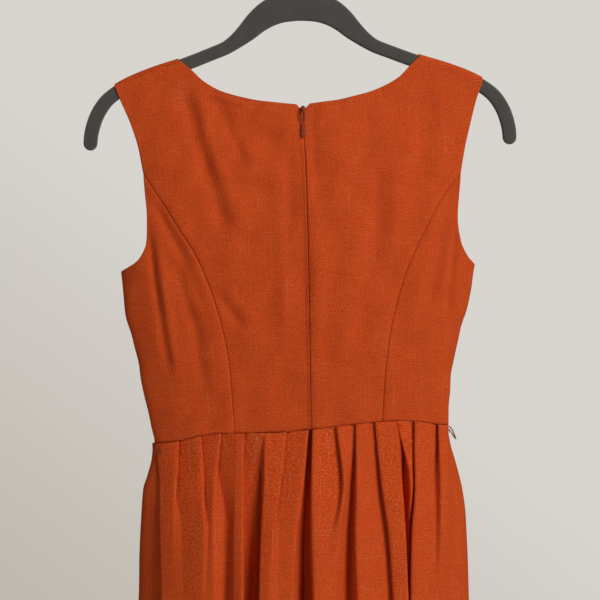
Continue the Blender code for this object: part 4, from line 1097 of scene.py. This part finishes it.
class Sum:
    """A number in a material that takes part in written maths."""

    def __init__(self, tree, socket):
        self.tree = tree
        self.socket = socket

    def _with(self, operation, *others):
        inputs = dict(enumerate((self, *others)))
        return Sum(self.tree, shader_node(self.tree, "ShaderNodeMath", inputs, operation=operation).outputs[0])

    def __add__(self, other):
        return self._with("ADD", other)

    def __radd__(self, other):
        return self._with("ADD", other)

    def __sub__(self, other):
        return self._with("SUBTRACT", other)

    def __mul__(self, other):
        return self._with("MULTIPLY", other)

    def sine(self):
        return self._with("SINE")

    def above(self, low, high):
        """0 below low and 1 above high, eased between."""
        inputs = {"Value": self, "From Min": low, "From Max": high}
        made = shader_node(self.tree, "ShaderNodeMapRange", inputs, interpolation_type="SMOOTHSTEP")
        return Sum(self.tree, made.outputs["Result"])


class Finish:
    """A material being put together."""

    def __init__(self, name):
        self.made = bpy.data.materials.new(name)
        self.made.use_nodes = True
        self.tree = self.made.node_tree
        self.shader = self.tree.nodes["Principled BSDF"]

    def node(self, kind, inputs=(), **settings):
        return shader_node(self.tree, kind, inputs, **settings)

    def cloth_place(self):
        """The place along and up the cloth's own weave, in metres."""
        parts = self.node("ShaderNodeSeparateXYZ", {"Vector": self.node("ShaderNodeUVMap", uv_map="cloth").outputs[0]})
        return Sum(self.tree, parts.outputs["X"]), Sum(self.tree, parts.outputs["Y"])

    def object_place(self):
        """The place in the piece's own axes, in metres."""
        parts = self.node("ShaderNodeSeparateXYZ", {"Vector": self.node("ShaderNodeTexCoord").outputs["Object"]})
        return tuple(Sum(self.tree, parts.outputs[axis]) for axis in "XYZ")

    def speckle(self, x, y, z=0, detail=2, rough=0.5):
        """Cloudy variation from 0 to 1 at this place, scaled so that one cloud is about one unit."""
        place = self.node("ShaderNodeCombineXYZ", {"X": x, "Y": y, "Z": z})
        inputs = {"Vector": place.outputs[0], "Scale": 1, "Detail": detail, "Roughness": rough}
        return Sum(self.tree, self.node("ShaderNodeTexNoise", inputs).outputs["Fac"])

    def clouds(self, count, detail, rough=0.5):
        """Cloudy variation over the whole of the piece, with this many clouds a metre."""
        return self.speckle(*(axis * count for axis in self.object_place()), detail, rough)

    def mixed(self, share, one, other):
        """A colour between two others."""
        colours = (c if isinstance(c, bpy.types.NodeSocket) else (*c, 1) for c in (one, other))
        return self.node("ShaderNodeMix", dict(zip((0, 6, 7), (share, *colours))), data_type="RGBA").outputs[2]

    def surface(self, **sockets):
        for name, value in sockets.items():
            plug(self.tree, self.shader.inputs[name.replace("_", " ")], value)

    def relief(self, height, distance, strength):
        """The finished material, with this height as its fine relief."""
        bump = self.node("ShaderNodeBump", {"Height": height, "Distance": distance, "Strength": strength})
        self.surface(Normal=bump.outputs["Normal"])
        return self.made


def slub_weave(name, settings):
    """Orange slub weave: fine threads with thick and thin lengths both ways, clouded dye, and pale flecks that are
    partly painted highlight, glints on the threads painted as colour.
    """
    finish = Finish(name)
    u, v = finish.cloth_place()
    weft, warp, long_weft, long_warp, cloud, fleck_and_glint = (
        finish.speckle(u * across, v * up, *rest) for across, up, *rest in WEAVE_CLOUDS
    )
    strength = settings.slub_strength
    dark = (weft + warp + long_weft * 0.9 + long_warp * 0.9 + cloud * 0.5 + fleck_and_glint * 0.5).above(*THREAD_DARK_FROM)
    pale = (long_weft.above(*SLUB_FROM) + long_warp.above(*SLUB_FROM)) * SLUB_SHARE + fleck_and_glint.above(*FLECK_AND_GLINT_FROM)
    base = finish.mixed(dark * strength, settings.thread_light, settings.thread_dark)
    # The pale colour over slubs and flecks; on the flecks it is partly painted highlight.
    base = finish.mixed(pale * strength, base, settings.slub_pale_and_glint)
    finish.surface(Base_Color=base, Roughness=settings.cloth_roughness + (weft - 0.5) * 0.1, Specular_IOR_Level=0.08)
    finish.surface(Sheen_Weight=0.07, Sheen_Roughness=0.4, Sheen_Tint=(1, 0.35, 0.12, 1))
    thread_u = (u * turns_every(0.55 * MM) + warp * 5).sine()
    thread_v = (v * turns_every(0.6 * MM) + weft * 5).sine()
    height = thread_u * thread_v * 0.35 + weft * 0.9 + warp * 0.9 + long_weft + long_warp + cloud * 2
    return finish.relief(height, 0.22 * MM, 0.7)


def zip_weave(name, settings):
    """Plain ribbed zip tape in the cloth's colour."""
    finish = Finish(name)
    u, v = finish.cloth_place()
    rib = (v * turns_every(0.7 * MM)).sine() * (u * turns_every(0.8 * MM)).sine()
    cloud = finish.speckle(u * 300, v * 300, 2, 3)
    finish.surface(Base_Color=finish.mixed(cloud, settings.thread_light, settings.thread_dark), Roughness=0.8)
    return finish.relief(rib + cloud, 0.15 * MM, 0.6)


def flocked(name, settings):
    """Short dark grey flock: matt, with a soft pile and rubbed places."""
    finish = Finish(name)
    pile = finish.clouds(2600, 2)
    rubbed = finish.clouds(55, 4)
    light = tuple(c * 1.5 for c in settings.flock_colour)
    base = finish.mixed(pile * 0.55 + rubbed.above(0.45, 0.7) * 0.35, settings.flock_colour, light)
    finish.surface(Base_Color=base, Roughness=0.95, Specular_IOR_Level=0.12, Sheen_Weight=0.5, Sheen_Roughness=0.6)
    return finish.relief(pile + rubbed, 0.25 * MM, 0.7)


def plated(name):
    """Bright nickel-plated wire with fine drawing lines."""
    finish = Finish(name)
    x, y, z = finish.object_place()
    drawn = finish.speckle(x * 1800, y * 1800, z * 60, 3)
    stain = finish.clouds(120, 4)
    base = finish.mixed(stain.above(0.4, 0.75) * 0.5, NICKEL, NICKEL_STAIN)
    finish.surface(Base_Color=base, Roughness=0.18 + stain * 0.16, Metallic=1)
    return finish.relief(drawn, 0.04 * MM, 0.35)


def lacquered(name, settings):
    """Rust brown lacquer over cast metal, worn paler in cloudy patches."""
    finish = Finish(name)
    wear = finish.clouds(900, 4, 0.65)
    base = finish.mixed(wear.above(0.55, 0.75) * 0.6, settings.zip_colour, LACQUER_WORN)
    finish.surface(Base_Color=base, Roughness=0.45 + wear * 0.2, Specular_IOR_Level=0.18)
    return finish.relief(wear, 0.05 * MM, 0.4)


def thread_finish(name):
    """Twisted sewing thread with lighter and darker strands, painted a little darker than the cloth as painted shade.
    """
    finish = Finish(name)
    x, y, z = finish.object_place()
    ply = (x * 2 + y * 2 + z * 3) * 3000
    fuzz = finish.clouds(2500, 3)
    # The strands' colours are darkened below the cloth's as painted shade.
    finish.surface(Base_Color=finish.mixed(fuzz, *LOOP_THREAD_AND_SHADE_COLOURS), Roughness=0.8)
    return finish.relief(ply.sine() + fuzz, 0.1 * MM, 0.6)


def floor_paint(name):
    """Matt off-white paint, very slightly clouded."""
    finish = Finish(name)
    base = finish.mixed(finish.clouds(3, 3) * 0.2, FLOOR_COLOUR, tuple(0.94 * c for c in FLOOR_COLOUR))
    finish.surface(Base_Color=base, Roughness=0.9)
    return finish.made


def make_floor():
    """A pale floor far below the hem."""
    bm = bmesh.new()
    bmesh.ops.create_grid(bm, x_segments=1, y_segments=1, size=FLOOR_SIZE / 2)
    mesh = bpy.data.meshes.new("floor")
    bm.to_mesh(mesh)
    bm.free()
    mesh.materials.append(finish_of("floor_paint", floor_paint))
    floor = bpy.data.objects.new("floor", mesh)
    floor.location = (0, 0, FLOOR_HEIGHT)
    bpy.context.scene.collection.objects.link(floor)


def make_lamps(level):
    """Soft round studio lamps."""
    for name, place, target, size, energy, colour in LIGHTS:
        lamp = bpy.data.lights.new(name, "AREA")
        lamp.shape = "DISK"
        lamp.size = size
        lamp.energy = energy * level
        lamp.color = colour
        made = bpy.data.objects.new(name, lamp)
        made.location = place
        made.rotation_euler = (Vector(target) - Vector(place)).to_track_quat("-Z", "Y").to_euler()
        bpy.context.scene.collection.objects.link(made)


def make_room():
    """The pale wall behind the dress, with painted shade that darkens it down and to one side, where the dress would
    shade it, brighter to the camera than to the dress.
    """
    world = bpy.data.worlds.new("studio")
    world.use_nodes = True
    tree = world.node_tree
    way = shader_node(tree, "ShaderNodeTexCoord").outputs["Generated"]
    # The backdrop darkens down and to one side: painted shade where the dress would shade the wall.
    inputs = {0: way, 1: WALL_PAINTED_SHADE_WAY}
    down = shader_node(tree, "ShaderNodeVectorMath", inputs, operation="DOT_PRODUCT").outputs["Value"]
    low, high = WALL_PAINTED_SHADE_RANGE
    shade = shader_node(tree, "ShaderNodeMapRange", {"Value": down, "From Min": low, "From Max": high})
    inputs = {0: shade.outputs["Result"], 6: (*WALL_COLOUR, 1), 7: (*WALL_PAINTED_SHADE, 1)}
    wall_and_painted_shade = shader_node(tree, "ShaderNodeMix", inputs, data_type="RGBA").outputs[2]
    seen = shader_node(tree, "ShaderNodeLightPath").outputs["Is Camera Ray"]
    level = shader_node(tree, "ShaderNodeMapRange", {"Value": seen, "To Min": ROOM_LEVEL, "To Max": WALL_LEVEL})
    background = tree.nodes["Background"]
    plug(tree, background.inputs["Color"], wall_and_painted_shade)
    plug(tree, background.inputs["Strength"], level.outputs["Result"])
    bpy.context.scene.world = world
    bpy.context.scene.view_settings.view_transform = "Standard"


def make_camera():
    """The camera, square to the dress's back."""
    camera = bpy.data.cameras.new("camera")
    camera.lens = CAMERA_LENS
    camera.clip_end = CAMERA_REACH
    holder = bpy.data.objects.new("camera", camera)
    holder.location = CAMERA_PLACE
    holder.rotation_euler = (math.radians(90), 0, math.radians(180))
    bpy.context.scene.collection.objects.link(holder)
    bpy.context.scene.camera = holder


class DressSettings(bpy.types.PropertyGroup):
    """Sizes and colours of the dress, its hanger and its light."""

    cloth_wall: bpy.props.FloatProperty(
        name="Cloth thickness", description="Thickness of the cloth's shell", default=0.8 * MM, min=0.0003, max=0.002,
        subtype="DISTANCE", unit="LENGTH",
    )
    thread_light: bpy.props.FloatVectorProperty(
        name="Light thread", description="Colour of the weave's lighter threads", default=(0.64, 0.062, 0.004),
        size=3, min=0, max=1, subtype="COLOR",
    )
    thread_dark: bpy.props.FloatVectorProperty(
        name="Dark thread", description="Colour of the weave's darker threads", default=(0.38, 0.022, 0.001),
        size=3, min=0, max=1, subtype="COLOR",
    )
    # Also the colour of the flecks, which partly paint highlight glints on the threads.
    slub_pale_and_glint: bpy.props.FloatVectorProperty(
        name="Pale slub", description="Colour of the thick pale lengths of thread", default=(0.82, 0.2, 0.065),
        size=3, min=0, max=1, subtype="COLOR",
    )
    slub_strength: bpy.props.FloatProperty(
        name="Slub strength", description="How strongly the threads differ in colour", default=0.55, min=0, max=1,
        subtype="FACTOR",
    )
    cloth_roughness: bpy.props.FloatProperty(
        name="Cloth roughness", description="Roughness of the weave", default=0.82, min=0, max=1, subtype="FACTOR"
    )
    flock_colour: bpy.props.FloatVectorProperty(
        name="Flock", description="Colour of the hanger's flock", default=(0.05, 0.047, 0.042),
        size=3, min=0, max=1, subtype="COLOR",
    )
    zip_colour: bpy.props.FloatVectorProperty(
        name="Zip lacquer", description="Colour of the slider, pull and teeth", default=(0.27, 0.038, 0.014),
        size=3, min=0, max=1, subtype="COLOR",
    )
    light_level: bpy.props.FloatProperty(
        name="Light level", description="Strength of the studio lamps", default=1, min=0, max=5, subtype="FACTOR"
    )


def finish_of(name, make, *values):
    """The material of that name, made once."""
    return bpy.data.materials.get(name) or make(name, *values)


class DRESS_OT_bodice(bpy.types.Operator):
    """Sews the bodice from its seven panels"""

    bl_idname = "dress.bodice"
    bl_label = "Bodice"

    def execute(self, context):
        make_bodice(finish_of("slub_weave", slub_weave, context.scene.dress))
        return {"FINISHED"}


class DRESS_OT_skirt(bpy.types.Operator):
    """Pleats the skirt's three panels on to the waist"""

    bl_idname = "dress.skirt"
    bl_label = "Pleated skirt"

    def execute(self, context):
        make_skirt(finish_of("slub_weave", slub_weave, context.scene.dress))
        return {"FINISHED"}


class DRESS_OT_zip(bpy.types.Operator):
    """Sets the zip's tape, teeth, slider and pull"""

    bl_idname = "dress.zip"
    bl_label = "Zip"

    def execute(self, context):
        settings = context.scene.dress
        metal = finish_of("zip_lacquer", lacquered, settings)
        make_zip(finish_of("zip_tape_weave", zip_weave, settings), metal)
        make_slider(metal)
        return {"FINISHED"}


class DRESS_OT_loops(bpy.types.Operator):
    """Twists the thread carriers at the waist"""

    bl_idname = "dress.loops"
    bl_label = "Belt loops"

    def execute(self, context):
        make_loops(finish_of("loop_thread", thread_finish))
        return {"FINISHED"}


class DRESS_OT_hanger(bpy.types.Operator):
    """Makes the flocked hanger and its hook"""

    bl_idname = "dress.hanger"
    bl_label = "Hanger"

    def execute(self, context):
        make_hanger(finish_of("grey_flocking", flocked, context.scene.dress))
        make_hook(finish_of("plated_wire", plated))
        return {"FINISHED"}


class DRESS_OT_stage(bpy.types.Operator):
    """Sets the floor, the lamps and the camera"""

    bl_idname = "dress.stage"
    bl_label = "Stage"

    def execute(self, context):
        make_floor()
        make_lamps(context.scene.dress.light_level)
        make_room()
        make_camera()
        return {"FINISHED"}


OPERATORS = (DRESS_OT_bodice, DRESS_OT_skirt, DRESS_OT_zip, DRESS_OT_loops, DRESS_OT_hanger, DRESS_OT_stage)


class DRESS_PT_panel(bpy.types.Panel):
    """The dress's settings and steps"""

    bl_idname = "DRESS_PT_panel"
    bl_label = "Dress"
    bl_space_type = "VIEW_3D"
    bl_region_type = "UI"
    bl_category = "Dress"

    def draw(self, context):
        settings = context.scene.dress
        for name in DressSettings.__annotations__:
            self.layout.prop(settings, name)
        for operator in OPERATORS:
            self.layout.operator(operator.bl_idname)


CLASSES = (DressSettings, *OPERATORS, DRESS_PT_panel)


def register():
    for each in CLASSES:
        bpy.utils.register_class(each)
    bpy.types.Scene.dress = bpy.props.PointerProperty(type=DressSettings)


def unregister():
    del bpy.types.Scene.dress
    for each in reversed(CLASSES):
        bpy.utils.unregister_class(each)


def main():
    register()
    bpy.ops.dress.stage()
    bpy.ops.dress.hanger()
    bpy.ops.dress.bodice()
    bpy.ops.dress.skirt()
    bpy.ops.dress.zip()
    bpy.ops.dress.loops()


if __name__ == "__main__":
    main()
